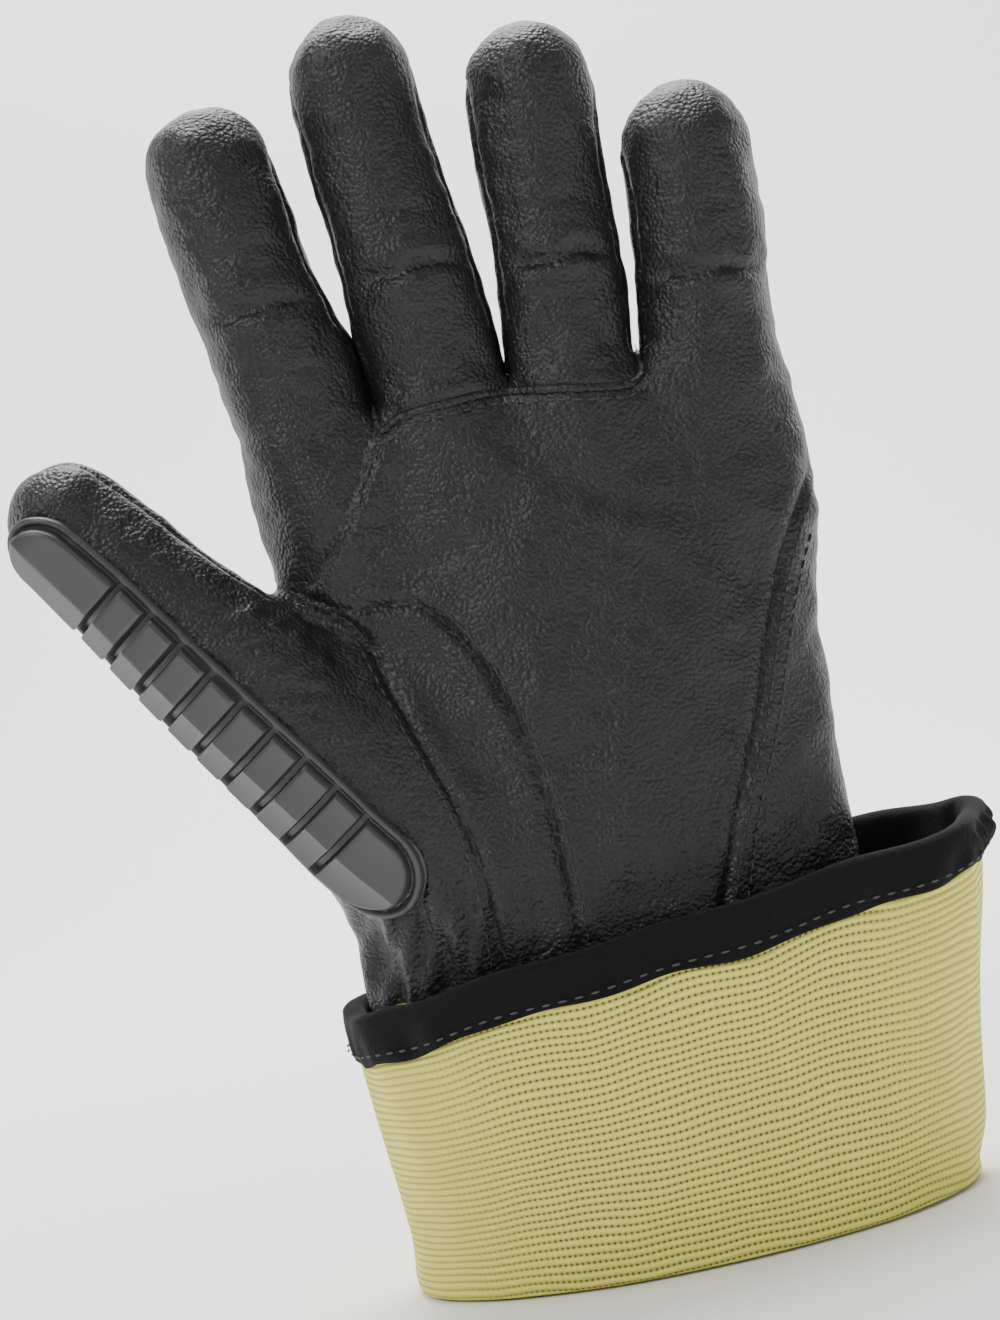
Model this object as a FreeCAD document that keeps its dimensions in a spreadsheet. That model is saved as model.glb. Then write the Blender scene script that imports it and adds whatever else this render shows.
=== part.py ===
import FreeCAD, Part

import math
import os

from FreeCAD import Placement, Rotation, Vector

# A left-hand work glove, standing on its turned-back cuff with the fingers up.
# +X is towards the little finger, -Y is the palm side, +Z is towards the fingertips.
# Each finger is a hollow cone with a round tip, in its own frame: x across, y to the back, z to the tip.

SIZES = [
    # Materials
    ("leather", 1.2, "goatskin thickness"),
    ("knit", 1.6, "lining thickness"),
    ("cuff_hide", 1.0, "suede thickness in the cuff"),
    ("thread", 0.5, "sewing thread thickness"),
    ("stitch_long", 2.0, "length of one stitch"),
    ("stitch_pitch", 3.0, "distance from stitch to stitch"),
    ("joint_gap", 0.4, "clearance between pieces on two sides of a joint"),
    # Hand
    ("hand_mid_x", 14.15, "middle of the four finger roots"),
    ("finger_pitch", 27.4, "distance from finger root to finger root"),
    ("palm_edge", 1.9, "palm beyond the outer finger roots"),
    ("root_z", 168, "height of the finger roots"),
    ("wrist_z", 60, "height of the wrist seam"),
    ("wrist_x", 12, "middle of the wrist"),
    ("wrist_half_wide", 54, "half the width of the wrist"),
    ("wrist_half_deep", 24, "half the thickness of the wrist"),
    ("palm_half_deep", 20, "half the thickness of the palm at the thumb"),
    ("knuckle_half_deep", 14, "half the thickness at the finger roots"),
    ("palm_top", 17, "palm above the finger roots"),
    ("side_seam_y", 3, "side seam, behind the middle of the hand"),
    # Fingers
    ("index_lean", 9.2, "lean towards the thumb, degrees"),
    ("index_reach", 74.5, "root to the centre of the round tip"),
    ("index_root_r", 15.8, "radius at the root"),
    ("index_tip_r", 13.0, "radius of the tip"),
    ("index_knuckle", 42.5, "root to the crease that bends"),
    ("middle_lean", 3.8, "lean towards the thumb, degrees"),
    ("middle_reach", 86.2, "root to the centre of the round tip"),
    ("middle_root_r", 15.0, "radius at the root"),
    ("middle_tip_r", 13.3, "radius of the tip"),
    ("middle_knuckle", 44.0, "root to the crease that bends"),
    ("ring_lean", -2.7, "lean towards the thumb, degrees"),
    ("ring_reach", 78.1, "root to the centre of the round tip"),
    ("ring_root_r", 14.2, "radius at the root"),
    ("ring_tip_r", 13.2, "radius of the tip"),
    ("ring_knuckle", 40.0, "root to the crease that bends"),
    ("little_lean", -5.9, "lean towards the thumb, degrees"),
    ("little_reach", 58.3, "root to the centre of the round tip"),
    ("little_root_r", 15.0, "radius at the root"),
    ("little_tip_r", 14.1, "radius of the tip"),
    ("little_knuckle", 30.0, "root to the crease that bends"),
    ("curl", 3, "forward curl of the fingers, degrees"),
    ("crease_depth", 3, "bending axis, in front of the finger's own axis"),
    ("bend_range", 65, "how far a finger bends, degrees"),
    ("front_half_arc", 75, "palm-side leather, each way from the front, degrees"),
    ("fork_arc", 40, "width of a finger's side wall, degrees"),
    ("fork_half_deep", 7, "half the depth of a crotch gusset"),
    # Thumb
    ("thumb_root_x", -32, "thumb root, across"),
    ("thumb_root_y", -4, "thumb root, depth"),
    ("thumb_root_z", 100, "thumb root, height"),
    ("thumb_lean", 32.7, "lean away from the fingers, degrees"),
    ("thumb_curl", 7.1, "forward curl, degrees"),
    ("thumb_reach", 88.6, "root to the centre of the round tip"),
    ("thumb_root_r", 22, "radius at the root"),
    ("thumb_tip_r", 12.8, "radius of the tip"),
    ("thumb_swing", 22, "how far the thumb swings, degrees"),
    ("crotch_x", -36, "thumb crotch, across"),
    ("crotch_z", 148, "thumb crotch, height"),
    ("thumb_seam_foot_x", -12.5, "foot of the thumb seam, across"),
    ("thumb_seam_foot_z", 70, "foot of the thumb seam, height"),
    # Guards
    ("guard_base", 1.8, "thickness of a guard's base"),
    ("guard_block", 3.2, "height of the blocks on a guard's base"),
    ("guard_bead", 2.2, "width of the bead around a guard"),
    ("guard_slit", 1.3, "width of a slit between blocks"),
    ("thumb_guard_long", 113, "length of the thumb guard"),
    ("thumb_guard_wide", 27, "width of the thumb guard at its lower end"),
    ("thumb_guard_tip", 18, "width of the thumb guard at its tip"),
    ("thumb_guard_turn", 225, "middle of the thumb guard round the thumb, degrees"),
    ("thumb_guard_pitch", 8.5, "block to block on the thumb guard"),
    ("finger_guard_wide", 17, "width of a finger guard"),
    ("finger_guard_pitch", 7, "block to block on a finger guard"),
    ("knuckle_guard_high", 26, "height of the knuckle guard"),
    ("back_guard_high", 44, "height of the ribs on the back of the hand"),
    # Cuff
    ("cuff_foot_x", 16.2, "middle of the cuff's fold"),
    ("cuff_foot_half_wide", 60.8, "half the width at the fold"),
    ("cuff_foot_half_deep", 33, "half the depth at the fold"),
    ("cuff_flare_x", 0.083, "how far the cuff's middle moves across per unit of height"),
    ("cuff_flare_wide", 0.133, "how far each side flares per unit of height"),
    ("cuff_flare_deep", 0.033, "how far front and back flare per unit of height"),
    ("cuff_wall_gap", 5.2, "between the inner and the folded wall at the fold"),
    ("rim_z", 69.3, "height of the cuff's rim above the origin"),
    ("rim_tilt_x", 0.075, "rise of the rim per unit across"),
    ("rim_tilt_y", 0.07, "rise of the rim per unit to the back"),
    ("binding_high", 9, "height of the binding"),
    ("binding_cloth", 0.9, "thickness of the binding"),
    ("elastic_wide", 10, "width of the wrist elastic"),
    ("elastic_z", 82, "height of the wrist elastic"),
]

FINGERS = ("index", "middle", "ring", "little")
HAS_FORK = {
    "index": ("little_side",),
    "middle": ("thumb_side", "little_side"),
    "ring": ("thumb_side", "little_side"),
    "little": ("thumb_side",),
}
FAR = 400  # reach of a cutting box beyond the glove

doc = FreeCAD.newDocument("work_glove")
sheet = doc.addObject("Spreadsheet::Sheet", "Sizes")
for row, (alias, value, note) in enumerate(SIZES, start=1):
    sheet.set(f"A{row}", note)
    sheet.set(f"B{row}", str(value))
    sheet.setAlias(f"B{row}", alias)
doc.recompute()

nodes = []


def size(alias):
    """A size as it stands in the sheet."""
    return float(sheet.get(alias))


def put(kind, name, sizes=None, place=None, **properties):
    """A document object with its sizes bound to the sheet."""
    thing = doc.addObject(kind, name)
    for prop, value in properties.items():
        setattr(thing, prop, value)
    for prop, formula in (sizes or {}).items():
        thing.setExpression(prop, formula)
    if place is not None:
        thing.Placement = place
    return thing


def bound(text):
    """A formula in which each word in braces is a cell of the sheet."""
    return text.replace("{", "Sizes.").replace("}", "")


def fuse(name, *things):
    return put("Part::MultiFuse", name, Shapes=list(things))


def cut(name, base, tool):
    return put("Part::Cut", name, Base=base, Tool=tool)


def common(name, *things):
    return put("Part::MultiCommon", name, Shapes=list(things))


def shape(name, made):
    """A piece or tool that no parametric feature makes."""
    thing = doc.addObject("Part::Feature", name)
    thing.Shape = made
    thing.Placement = Placement()
    return thing


def node(thing, label):
    """Marks a sub-part: its label names its file."""
    thing.Label = label
    nodes.append(thing)
    return thing


def extruded(name, face, direction, length):
    """A closed outline carried straight along a direction, both ways."""
    outline = shape(name + "_outline", face)
    return put(
        "Part::Extrusion", name, Base=outline, DirMode="Custom", Dir=direction,
        LengthFwd=length, Solid=True, Symmetric=True,
    )


def polygon_xz(points):
    """A closed face in the plane of the palm."""
    corners = [Vector(x, 0, z) for x, z in points]
    return Part.Face(Part.makePolygon(corners + corners[:1]))


def smooth_line(points):
    """A smooth open line through points in the plane of the palm."""
    spline = Part.BSplineCurve()
    spline.interpolate([Vector(x, 0, z) for x, z in points])
    return spline


# ---- Placements ----

def finger_frame(name):
    """Root and axes of a finger: x across, y to the back, z to the tip."""
    across = size("hand_mid_x") + (FINGERS.index(name) - 1.5) * size("finger_pitch")
    turn = Rotation(Vector(0, 1, 0), -size(name + "_lean")) * Rotation(Vector(1, 0, 0), size("curl"))
    return Placement(Vector(across, 0, size("root_z")), turn)


def thumb_frame():
    root = Vector(size("thumb_root_x"), size("thumb_root_y"), size("thumb_root_z"))
    turn = Rotation(Vector(0, 1, 0), -size("thumb_lean")) * Rotation(Vector(1, 0, 0), size("thumb_curl"))
    return Placement(root, turn)


def local(frame, x=0.0, y=0.0, z=0.0, turn=None):
    """A place in a finger's frame."""
    return frame * Placement(Vector(x, y, z), turn or Rotation())


# ---- Fingers: full solids at three depths, shared by every piece made from them ----

def stall(name, depth, label):
    """A closed finger shape, set in from the outside by a formula."""
    frame = thumb_frame() if name == "thumb" else finger_frame(name)
    cone = put(
        "Part::Cone", f"{name}_{label}_cone",
        {
            "Radius1": bound(f"{{{name}_root_r}} - ({depth})"),
            "Radius2": bound(f"{{{name}_tip_r}} - ({depth})"),
            "Height": bound(f"{{{name}_reach}}"),
        },
        frame,
    )
    tip = put(
        "Part::Sphere", f"{name}_{label}_tip", {"Radius": bound(f"{{{name}_tip_r}} - ({depth})")},
        local(frame, z=size(name + "_reach")),
    )
    parts = [cone, tip]
    if name == "thumb":
        parts.append(put(
            "Part::Sphere", "thumb_" + label + "_heel",
            {"Radius": bound(f"{{thumb_root_r}} - ({depth})")}, frame,
        ))
    return fuse(f"{name}_{label}", *parts)


DEPTHS = {"outside": "0", "inside": "{leather}", "hollow": "{leather} + {knit}"}
stalls = {
    (name, label): stall(name, bound(depth), label)
    for name in FINGERS + ("thumb",)
    for label, depth in DEPTHS.items()
}


# ---- The hand as a loft of ellipses ----

def ellipse(name, x, y, z, wide, deep, start=180):
    """A level oval whose half width and half depth are formulas; its edge starts at an angle from +X."""
    return put(
        "Part::Ellipse", name,
        {
            "MajorRadius": bound(wide), "MinorRadius": bound(deep),
            ".Placement.Base.x": bound(x), ".Placement.Base.y": bound(y), ".Placement.Base.z": bound(z),
        },
        Placement(Vector(), Rotation(Vector(0, 0, 1), start)),
    )


KNUCKLE_HALF_WIDE = "2 * {finger_pitch} + {palm_edge}"
HAND_SECTIONS = [
    ("{wrist_x}", "{wrist_z} - 10", "{wrist_half_wide}", "{wrist_half_deep}"),
    ("{wrist_x} + 1", "{wrist_z} + 25", "{wrist_half_wide} - 1", "{wrist_half_deep}"),
    ("{hand_mid_x}", "({wrist_z} + {root_z}) / 2", "{wrist_half_wide}", "{palm_half_deep} + 2"),
    ("{hand_mid_x}", "{root_z} - 15", KNUCKLE_HALF_WIDE, "{palm_half_deep} - 1"),
]


def hand_loft(label, depth, start=180):
    sections = [
        ellipse(f"hand_{label}_{i}", x, "0", z, f"{wide} - ({depth})", f"{deep} - ({depth})", start)
        for i, (x, z, wide, deep) in enumerate(HAND_SECTIONS)
    ]
    sections.append(ellipse(
        f"hand_{label}_top", "{hand_mid_x} - 1", "0", f"{{root_z}} + {{palm_top}} - ({depth})",
        f"{KNUCKLE_HALF_WIDE} - 1 - ({depth})", f"{{knuckle_half_deep}} - ({depth})", start,
    ))
    return put("Part::Loft", "hand_loft_" + label, Sections=sections, Solid=True)


palm_solid = {label: hand_loft(label, depth) for label, depth in DEPTHS.items()}
hand_solid = {
    label: fuse("hand_" + label, palm_solid[label], *[stalls[name, label] for name in FINGERS])
    for label in DEPTHS
}
# The thumb's share of the palm is cut from a loft that starts on its far side.
thumb_solid = {
    label: fuse("thumb_with_palm_" + label, hand_loft("by_thumb_" + label, depth, 0), stalls["thumb", label])
    for label, depth in DEPTHS.items()
}


# ---- Zones: the boxes and prisms that divide a shell into its panels ----

def slab(name, frame, low, high):
    """A box between two corners, in a frame."""
    return put(
        "Part::Box", name, {}, frame * Placement(Vector(*low), Rotation()),
        Length=high[0] - low[0], Width=high[1] - low[1], Height=high[2] - low[2],
    )


def knuckle_hinge(name, turn=0.0):
    """The frame of a finger's bending axis, turned about it."""
    frame = finger_frame(name)
    return local(frame, y=-size("crease_depth"), z=size(name + "_knuckle"), turn=Rotation(Vector(1, 0, 0), turn))


def wedge_above(name, side, turn, gap):
    """Everything above a plane through the bending axis, turned about it."""
    return slab(f"{name}_{side}", knuckle_hinge(name, turn), (-FAR / 2, -FAR / 2, gap), (FAR / 2, FAR / 2, FAR))


half_gap = size("joint_gap") / 2
half_bend = size("bend_range") / 2
moving_zone = {
    name: common(
        name + "_moving_zone",
        wedge_above(name, "straight", 0, half_gap),
        wedge_above(name, "front_slope", -half_bend, half_gap),
    )
    for name in FINGERS
}
still_cutters = [
    fuse(
        name + "_still_cutter",
        slab(name + "_above", knuckle_hinge(name), (-size(name + "_root_r") - 1, -30, -half_gap), (size(name + "_root_r") + 1, 30, 80)),
        slab(
            name + "_above_slope", knuckle_hinge(name, half_bend),
            (-size(name + "_root_r") - 1, -30, -half_gap), (size(name + "_root_r") + 1, 30, 80),
        ),
    )
    for name in FINGERS
]

seam_foot = Vector(size("thumb_seam_foot_x"), 0, size("thumb_seam_foot_z"))
crotch = Vector(size("crotch_x"), 0, size("crotch_z"))
seam_along = (crotch - seam_foot).normalize()
seam_across = Vector(seam_along.z, 0, -seam_along.x)  # the thumb swings about this, out of the seam's plane
web_far = crotch + Vector(-60, 0, 60)


def thumb_zone(name, inset, slope):
    """Everything on the thumb's side of its seam, below the crotch and above the foot of the seam."""
    foot = seam_foot - seam_across * inset
    top = crotch - seam_across * inset - Vector(0, 0, inset)
    web = web_far - Vector(0, 0, inset)
    prism = extruded(
        name, polygon_xz([(foot.x, foot.z), (top.x, top.z), (web.x, web.z), (-150, web.z), (-150, foot.z)]),
        Vector(0, 1, 0), 160,
    )
    if not slope:
        return prism
    tilt = Placement(seam_foot, Rotation(seam_across, slope))
    front_floor = slab(name + "_slope", tilt, (-FAR, -FAR, -FAR), (FAR, FAR, size("joint_gap")))
    level_floor = slab(name + "_floor", Placement(seam_foot, Rotation()), (-FAR, -FAR, -FAR), (FAR, FAR, size("joint_gap")))
    return cut(name + "_lifted", prism, fuse(name + "_floors", front_floor, level_floor))


still_thumb_zone = thumb_zone("still_thumb_zone", 0.0, 0)
moving_thumb_zone = thumb_zone("moving_thumb_zone", size("joint_gap"), -size("thumb_swing"))


# ---- Layers of the hand ----

def layer(name, outer, inner):
    return cut(name, outer, inner)


front_box = slab("front_box", Placement(), (-200, -100, size("wrist_z")), (200, size("side_seam_y"), 300))
back_box = slab("back_box", Placement(), (-200, size("side_seam_y"), size("wrist_z")), (200, 100, 300))
above_wrist = slab("above_wrist", Placement(), (-200, -100, size("wrist_z")), (200, 100, 300))
moving_all = fuse("hand_cutters", still_thumb_zone, *still_cutters)

hand_skin = cut("hand_skin", layer("hand_skin_whole", hand_solid["outside"], hand_solid["inside"]), moving_all)
hand_lining = cut("hand_lining_cut", layer("hand_lining_whole", hand_solid["inside"], hand_solid["hollow"]), moving_all)
node(common("hand_lining_kept", hand_lining, above_wrist), "hand_liner")


def crotch_x_between(left, right, height):
    """Middle of the gap between two fingers at a height above the roots."""
    places = []
    for name in (left, right):
        frame = finger_frame(name)
        places.append(frame.Base.x + height * math.tan(math.radians(-size(name + "_lean"))))
    return sum(places) / 2


FORK_GAPS = (("index", "middle"), ("middle", "ring"), ("ring", "little"))
FORK_HALF_WIDE = 9
fork_boxes = {}
for left_finger, right_finger in FORK_GAPS:
    middle = crotch_x_between(left_finger, right_finger, size("palm_top"))
    fork_boxes[left_finger, right_finger] = slab(
        f"fork_box_{left_finger}_{right_finger}", Placement(),
        (middle - FORK_HALF_WIDE, -size("fork_half_deep"), size("root_z") + 6),
        (middle + FORK_HALF_WIDE, size("fork_half_deep"), size("root_z") + 60),
    )
    node(
        common(f"fork_{left_finger}_{right_finger}", hand_skin, fork_boxes[left_finger, right_finger]),
        f"{left_finger}_{right_finger}_fork",
    )

skin_without_forks = cut("skin_without_forks", hand_skin, fuse("fork_boxes", *fork_boxes.values()))
front_skin = common("front_skin", skin_without_forks, front_box)
node(common("back_skin", skin_without_forks, back_box), "back_panel")

# The palm side is cut into four pieces: the palm, the strip beside the thumb, the wedge at the
# outer wrist, and the fronts of the middle and ring fingers above the welt.
GUSSET_SEAM = [(-36, 149), (-19, 144.5), (-9, 137), (-4, 128), (0, 117), (3, 103), (4, 88), (4, 52)]
WEDGE_SEAM = [(71.5, 153), (60, 131), (49, 103), (38, 78), (31, 52)]
WELT_LINE = [(-15, 180), (-10, 182.3), (0, 183), (10, 182.8), (20, 181.4), (30, 179.3), (38, 178.6), (42.5, 181)]


def zone_beside(name, seam, corners):
    """A prism whose one side is a seam and whose other sides run through corners."""
    line = smooth_line(seam)
    ends = [Vector(x, 0, z) for x, z in corners]
    sides = Part.makePolygon([line.value(line.LastParameter)] + ends + [line.value(line.FirstParameter)])
    outline = Part.Wire([line.toShape()] + sides.Edges)
    return extruded(name, Part.Face(outline), Vector(0, 1, 0), 160)


gusset_zone = zone_beside("gusset_zone", GUSSET_SEAM, [(-60, 52), (-60, 149)])
wedge_zone = zone_beside("wedge_zone", WEDGE_SEAM, [(90, 52), (90, 153)])
welt_zone = zone_beside("welt_zone", WELT_LINE, [(42.5, 230), (-15, 230)])

node(common("gusset_piece", front_skin, gusset_zone), "thumb_gusset")
node(common("wedge_piece", front_skin, wedge_zone), "wrist_wedge")
node(common("middle_ring_piece", front_skin, welt_zone), "middle_ring_panel")
node(cut("palm_piece", front_skin, fuse("small_zones", gusset_zone, wedge_zone, welt_zone)), "palm_panel")


# ---- Moving finger pieces ----

def sector(name, finger, start, width):
    """The part of a finger between two angles about its own axis; 270 degrees is the front."""
    frame = thumb_frame() if finger == "thumb" else finger_frame(finger)
    return put(
        "Part::Cylinder", name, {"Height": bound(f"{{{finger}_reach}} + 40"), "Angle": width},
        local(frame, z=-20, turn=Rotation(Vector(0, 0, 1), start)), Radius=60,
    )


FRONT = 270
for finger in FINGERS:
    skin = common(
        finger + "_skin", layer(finger + "_skin_whole", stalls[finger, "outside"], stalls[finger, "inside"]),
        moving_zone[finger],
    )
    lining = layer(finger + "_lining_whole", stalls[finger, "inside"], stalls[finger, "hollow"])
    node(common(finger + "_lining", lining, moving_zone[finger]), finger + "_liner")
    half, fork = size("front_half_arc"), size("fork_arc")
    forks = HAS_FORK[finger]
    start = FRONT - half - (0 if "thumb_side" in forks else fork)
    end = FRONT + half + (0 if "little_side" in forks else fork)
    turns = {"front": (start, end)}
    if "thumb_side" in forks:
        turns["thumb_side_fork"] = (start - fork, start)
    if "little_side" in forks:
        turns["little_side_fork"] = (end, end + fork)
    turns["back"] = (FRONT + half + fork, FRONT - half - fork + 360)
    for piece, (low, high) in turns.items():
        zone = sector(f"{finger}_{piece}_sector", finger, low, str(high - low))
        label = f"{finger}_{piece}"
        node(common(label + "_piece", skin, zone), label)


# ---- Thumb ----

thumb_skin = common(
    "thumb_skin", layer("thumb_skin_whole", thumb_solid["outside"], thumb_solid["inside"]), moving_thumb_zone,
)
thumb_lining = common(
    "thumb_lining", layer("thumb_lining_whole", thumb_solid["inside"], thumb_solid["hollow"]), moving_thumb_zone,
)
node(thumb_lining, "thumb_liner")
THUMB_FRONT = (150, 350)
node(
    common("thumb_front_piece", thumb_skin, sector("thumb_front_sector", "thumb", THUMB_FRONT[0], str(THUMB_FRONT[1] - THUMB_FRONT[0]))),
    "thumb_front",
)
node(
    common("thumb_back_piece", thumb_skin, sector("thumb_back_sector", "thumb", THUMB_FRONT[1], str(360 - THUMB_FRONT[1] + THUMB_FRONT[0]))),
    "thumb_back",
)


# ---- Moulded rubber guards ----

def rounded_bar(frame, bottom, top, wide, tip_wide):
    """A long tapered outline with round ends, in the plane that faces along the frame's x axis."""
    half, tip_half = wide / 2, tip_wide / 2
    a = frame.multVec(Vector(0, -half, bottom + half))
    b = frame.multVec(Vector(0, -tip_half, top - tip_half))
    c = frame.multVec(Vector(0, 0, top))
    d = frame.multVec(Vector(0, tip_half, top - tip_half))
    e = frame.multVec(Vector(0, half, bottom + half))
    f = frame.multVec(Vector(0, 0, bottom))
    return Part.Face(Part.Wire([
        Part.LineSegment(a, b).toShape(), Part.Arc(b, c, d).toShape(),
        Part.LineSegment(d, e).toShape(), Part.Arc(e, f, a).toShape(),
    ]))


def pad_zone(name, frame, bottom, top, wide, tip_wide):
    """The space in front of a rounded bar, out from the frame's z axis."""
    outward = frame.Rotation.multVec(Vector(1, 0, 0))
    outline = shape(name + "_outline", rounded_bar(frame, bottom, top, wide, tip_wide))
    return put("Part::Extrusion", name, Base=outline, DirMode="Custom", Dir=outward, LengthFwd=60, Solid=True)


def offset_stall(name, label, grow):
    """A finger's outside grown by a formula."""
    return stall(name, bound(f"0 - ({grow})"), label)


def guard(label, finger, frame, bottom, top, wide, tip_wide, first_slit, pitch, slits):
    """A base with a bead round it and a row of blocks, wrapped on a finger."""
    base_out = offset_stall(finger, "guard_base", "{guard_base}")
    block_out = offset_stall(finger, "guard_block", "{guard_base} + {guard_block}")
    skin = thumb_solid["outside"] if finger == "thumb" else stalls[finger, "outside"]
    outer = pad_zone(label + "_outer_zone", frame, bottom, top, wide, tip_wide)
    bead = size("guard_bead")
    inner = pad_zone(
        label + "_inner_zone", frame, bottom + bead, top - bead, wide - 2 * bead, tip_wide - 2 * bead,
    )
    base = common(label + "_base_piece", cut(label + "_base_layer", base_out, skin), outer)
    half = size("guard_slit") / 2
    bars = [
        slab(f"{label}_slit_{i}", frame, (0, -40, z - half), (80, 40, z + half))
        for i, z in enumerate(first_slit + pitch * k for k in range(slits))
    ]
    row = common(label + "_block_row", cut(label + "_block_layer", block_out, base_out), inner)
    blocks = cut(label + "_block_piece", row, fuse(label + "_slits", skin, *bars))
    node(base, label + "_pad")
    node(blocks, label + "_blocks")


guard_turn = size("thumb_guard_turn")
thumb_pad = local(thumb_frame(), turn=Rotation(Vector(0, 0, 1), guard_turn))
THUMB_GUARD_TOP = size("thumb_reach") + 7
TIP_BLOCK = 26  # length of the plain block at the tip
SLITS = 9
guard(
    "thumb_guard", "thumb", thumb_pad, THUMB_GUARD_TOP - size("thumb_guard_long"), THUMB_GUARD_TOP,
    size("thumb_guard_wide"), size("thumb_guard_tip"),
    THUMB_GUARD_TOP - TIP_BLOCK - (SLITS - 1) * size("thumb_guard_pitch"), size("thumb_guard_pitch"), SLITS,
)

BACK = 90
for finger in FINGERS:
    pad = local(finger_frame(finger), turn=Rotation(Vector(0, 0, 1), BACK))
    bottom = size(finger + "_knuckle") + 5
    top = size(finger + "_reach") + 2
    count = int((top - bottom - 14) / size("finger_guard_pitch")) + 1
    guard(
        finger + "_guard", finger, pad, bottom, top, size("finger_guard_wide"), size("finger_guard_wide"),
        bottom + 7, size("finger_guard_pitch"), count,
    )

# The two guards on the back of the hand lie on the palm's own loft.
GROWN = {"base": "0 - {guard_base}", "block": "0 - {guard_base} - {guard_block}"}
grown_hand = {label: fuse("hand_guard_" + label, hand_loft("guard_" + label, bound(depth)),
                          *[stall(name, bound(depth), "knuckle_" + label) for name in FINGERS])
              for label, depth in GROWN.items()}


def back_outline(low, high, inset):
    """A rounded outline across the back of the hand."""
    left = size("hand_mid_x") - 2 * size("finger_pitch") + 8 + inset
    right = size("hand_mid_x") + 2 * size("finger_pitch") - 8 - inset
    corner = 6 - inset / 2
    low, high = low + inset, high - inset
    plate = Part.makeBox(right - left, 100, high - low, Vector(left, 0, low))
    edges = [e for e in plate.Edges if abs(e.Vertexes[0].Y - e.Vertexes[-1].Y) > 1]
    return plate.makeFillet(corner, edges)


def back_guard(label, low, high, bars):
    outer = shape(label + "_outer_zone", back_outline(low, high, 0))
    inner = shape(label + "_inner_zone", back_outline(low, high, size("guard_bead")))
    on_hand = cut(label + "_base_layer", grown_hand["base"], fuse(label + "_under", hand_solid["outside"], still_thumb_zone))
    row = common(label + "_block_row", cut(label + "_block_layer", grown_hand["block"], grown_hand["base"]), inner)
    node(common(label + "_base_piece", on_hand, outer), label + "_pad")
    node(cut(label + "_block_piece", row, fuse(label + "_slits", still_thumb_zone, *bars)), label + "_blocks")


def gap_bars(label, low, high):
    """Slits that stand between the finger rays."""
    half = size("guard_slit") / 2
    lines = [size("hand_mid_x") + k * size("finger_pitch") / 2 for k in range(-3, 4)]
    return [slab(f"{label}_bar_{i}", Placement(), (x - half, 0, low - 5), (x + half, 80, high + 5))
            for i, x in enumerate(lines)]


knuckle_low = size("root_z") - 22
knuckle_high = knuckle_low + size("knuckle_guard_high")
back_guard("knuckle_guard", knuckle_low, knuckle_high, gap_bars("knuckle", knuckle_low, knuckle_high))
hand_high = knuckle_low - 6
hand_low = hand_high - size("back_guard_high")
half_slit = size("guard_slit") / 2
RIBS = 5
rib_bars = [
    slab(f"rib_bar_{i}", Placement(), (-100, 0, z - half_slit), (100, 80, z + half_slit))
    for i, z in enumerate(hand_low + size("back_guard_high") * k / RIBS for k in range(1, RIBS))
]
back_guard("back_guard", hand_low, hand_high, rib_bars)


# ---- Cuff: folded down and back up, so that its lining shows ----

def cuff_section(name, height, wide, deep):
    return ellipse(
        name, f"{{cuff_foot_x}} + {{cuff_flare_x}} * ({height})", "0", height,
        f"{{cuff_foot_half_wide}} + {{cuff_flare_wide}} * ({height}) - ({wide})",
        f"{{cuff_foot_half_deep}} + {{cuff_flare_deep}} * ({height}) - ({deep})",
    )


CUFF_TOP = "110"  # above the highest point of the rim, where the loft is trimmed


def folded_wall(label, depth, foot):
    """The outer wall as a closed loft, from a foot height up past the rim."""
    return put(
        "Part::Loft", "folded_wall_" + label, Solid=True, Ruled=True,
        Sections=[cuff_section(f"folded_{label}_{i}", z, depth, depth) for i, z in enumerate((foot, CUFF_TOP))],
    )


def wrist_wall(label, depth, foot):
    """The wrist tube inside the fold, from a foot height up to the wrist seam."""
    walls = f"{{cuff_wall_gap}} + 2 * ({{knit}} + {{cuff_hide}}) + ({depth})"
    low = ellipse(
        f"wrist_{label}_low", "{cuff_foot_x}", "0", foot,
        f"{{cuff_foot_half_wide}} - ({walls})", f"{{cuff_foot_half_deep}} - ({walls})",
    )
    high = ellipse(
        f"wrist_{label}_high", "{wrist_x}", "0", "{wrist_z}",
        f"{{wrist_half_wide}} + {{cuff_hide}} - {{leather}} - ({depth})",
        f"{{wrist_half_deep}} + {{cuff_hide}} - {{leather}} - ({depth})",
    )
    return put("Part::Loft", "wrist_wall_" + label, Sections=[low, high], Solid=True, Ruled=True)


tilt_across = math.degrees(math.atan(size("rim_tilt_x")))
tilt_back = math.degrees(math.atan(size("rim_tilt_y")))
rim_frame = Placement(
    Vector(0, 0, size("rim_z")), Rotation(Vector(0, 1, 0), -tilt_across) * Rotation(Vector(1, 0, 0), tilt_back),
)
above_rim = slab("above_rim", rim_frame, (-200, -200, 0), (200, 200, 200))
below_binding = slab("below_binding", rim_frame, (-200, -200, -200), (200, 200, -size("binding_high")))
above_binding = slab("above_binding", rim_frame, (-200, -200, size("binding_cloth")), (200, 200, 200))

BELOW = "0 - 5"  # the walls' lofts start below the floor, so that each cut goes right through
lining_out = folded_wall("lining_out", "0", BELOW)
lining_in = folded_wall("lining_in", "{knit}", BELOW)
hide_in = folded_wall("hide_in", "{knit} + {cuff_hide}", BELOW)
wrist_hide_out = wrist_wall("hide_out", "0", BELOW)
wrist_hide_in = wrist_wall("hide_in", "{cuff_hide}", BELOW)
wrist_hollow = wrist_wall("hollow", "{cuff_hide} + {knit}", BELOW)


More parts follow.
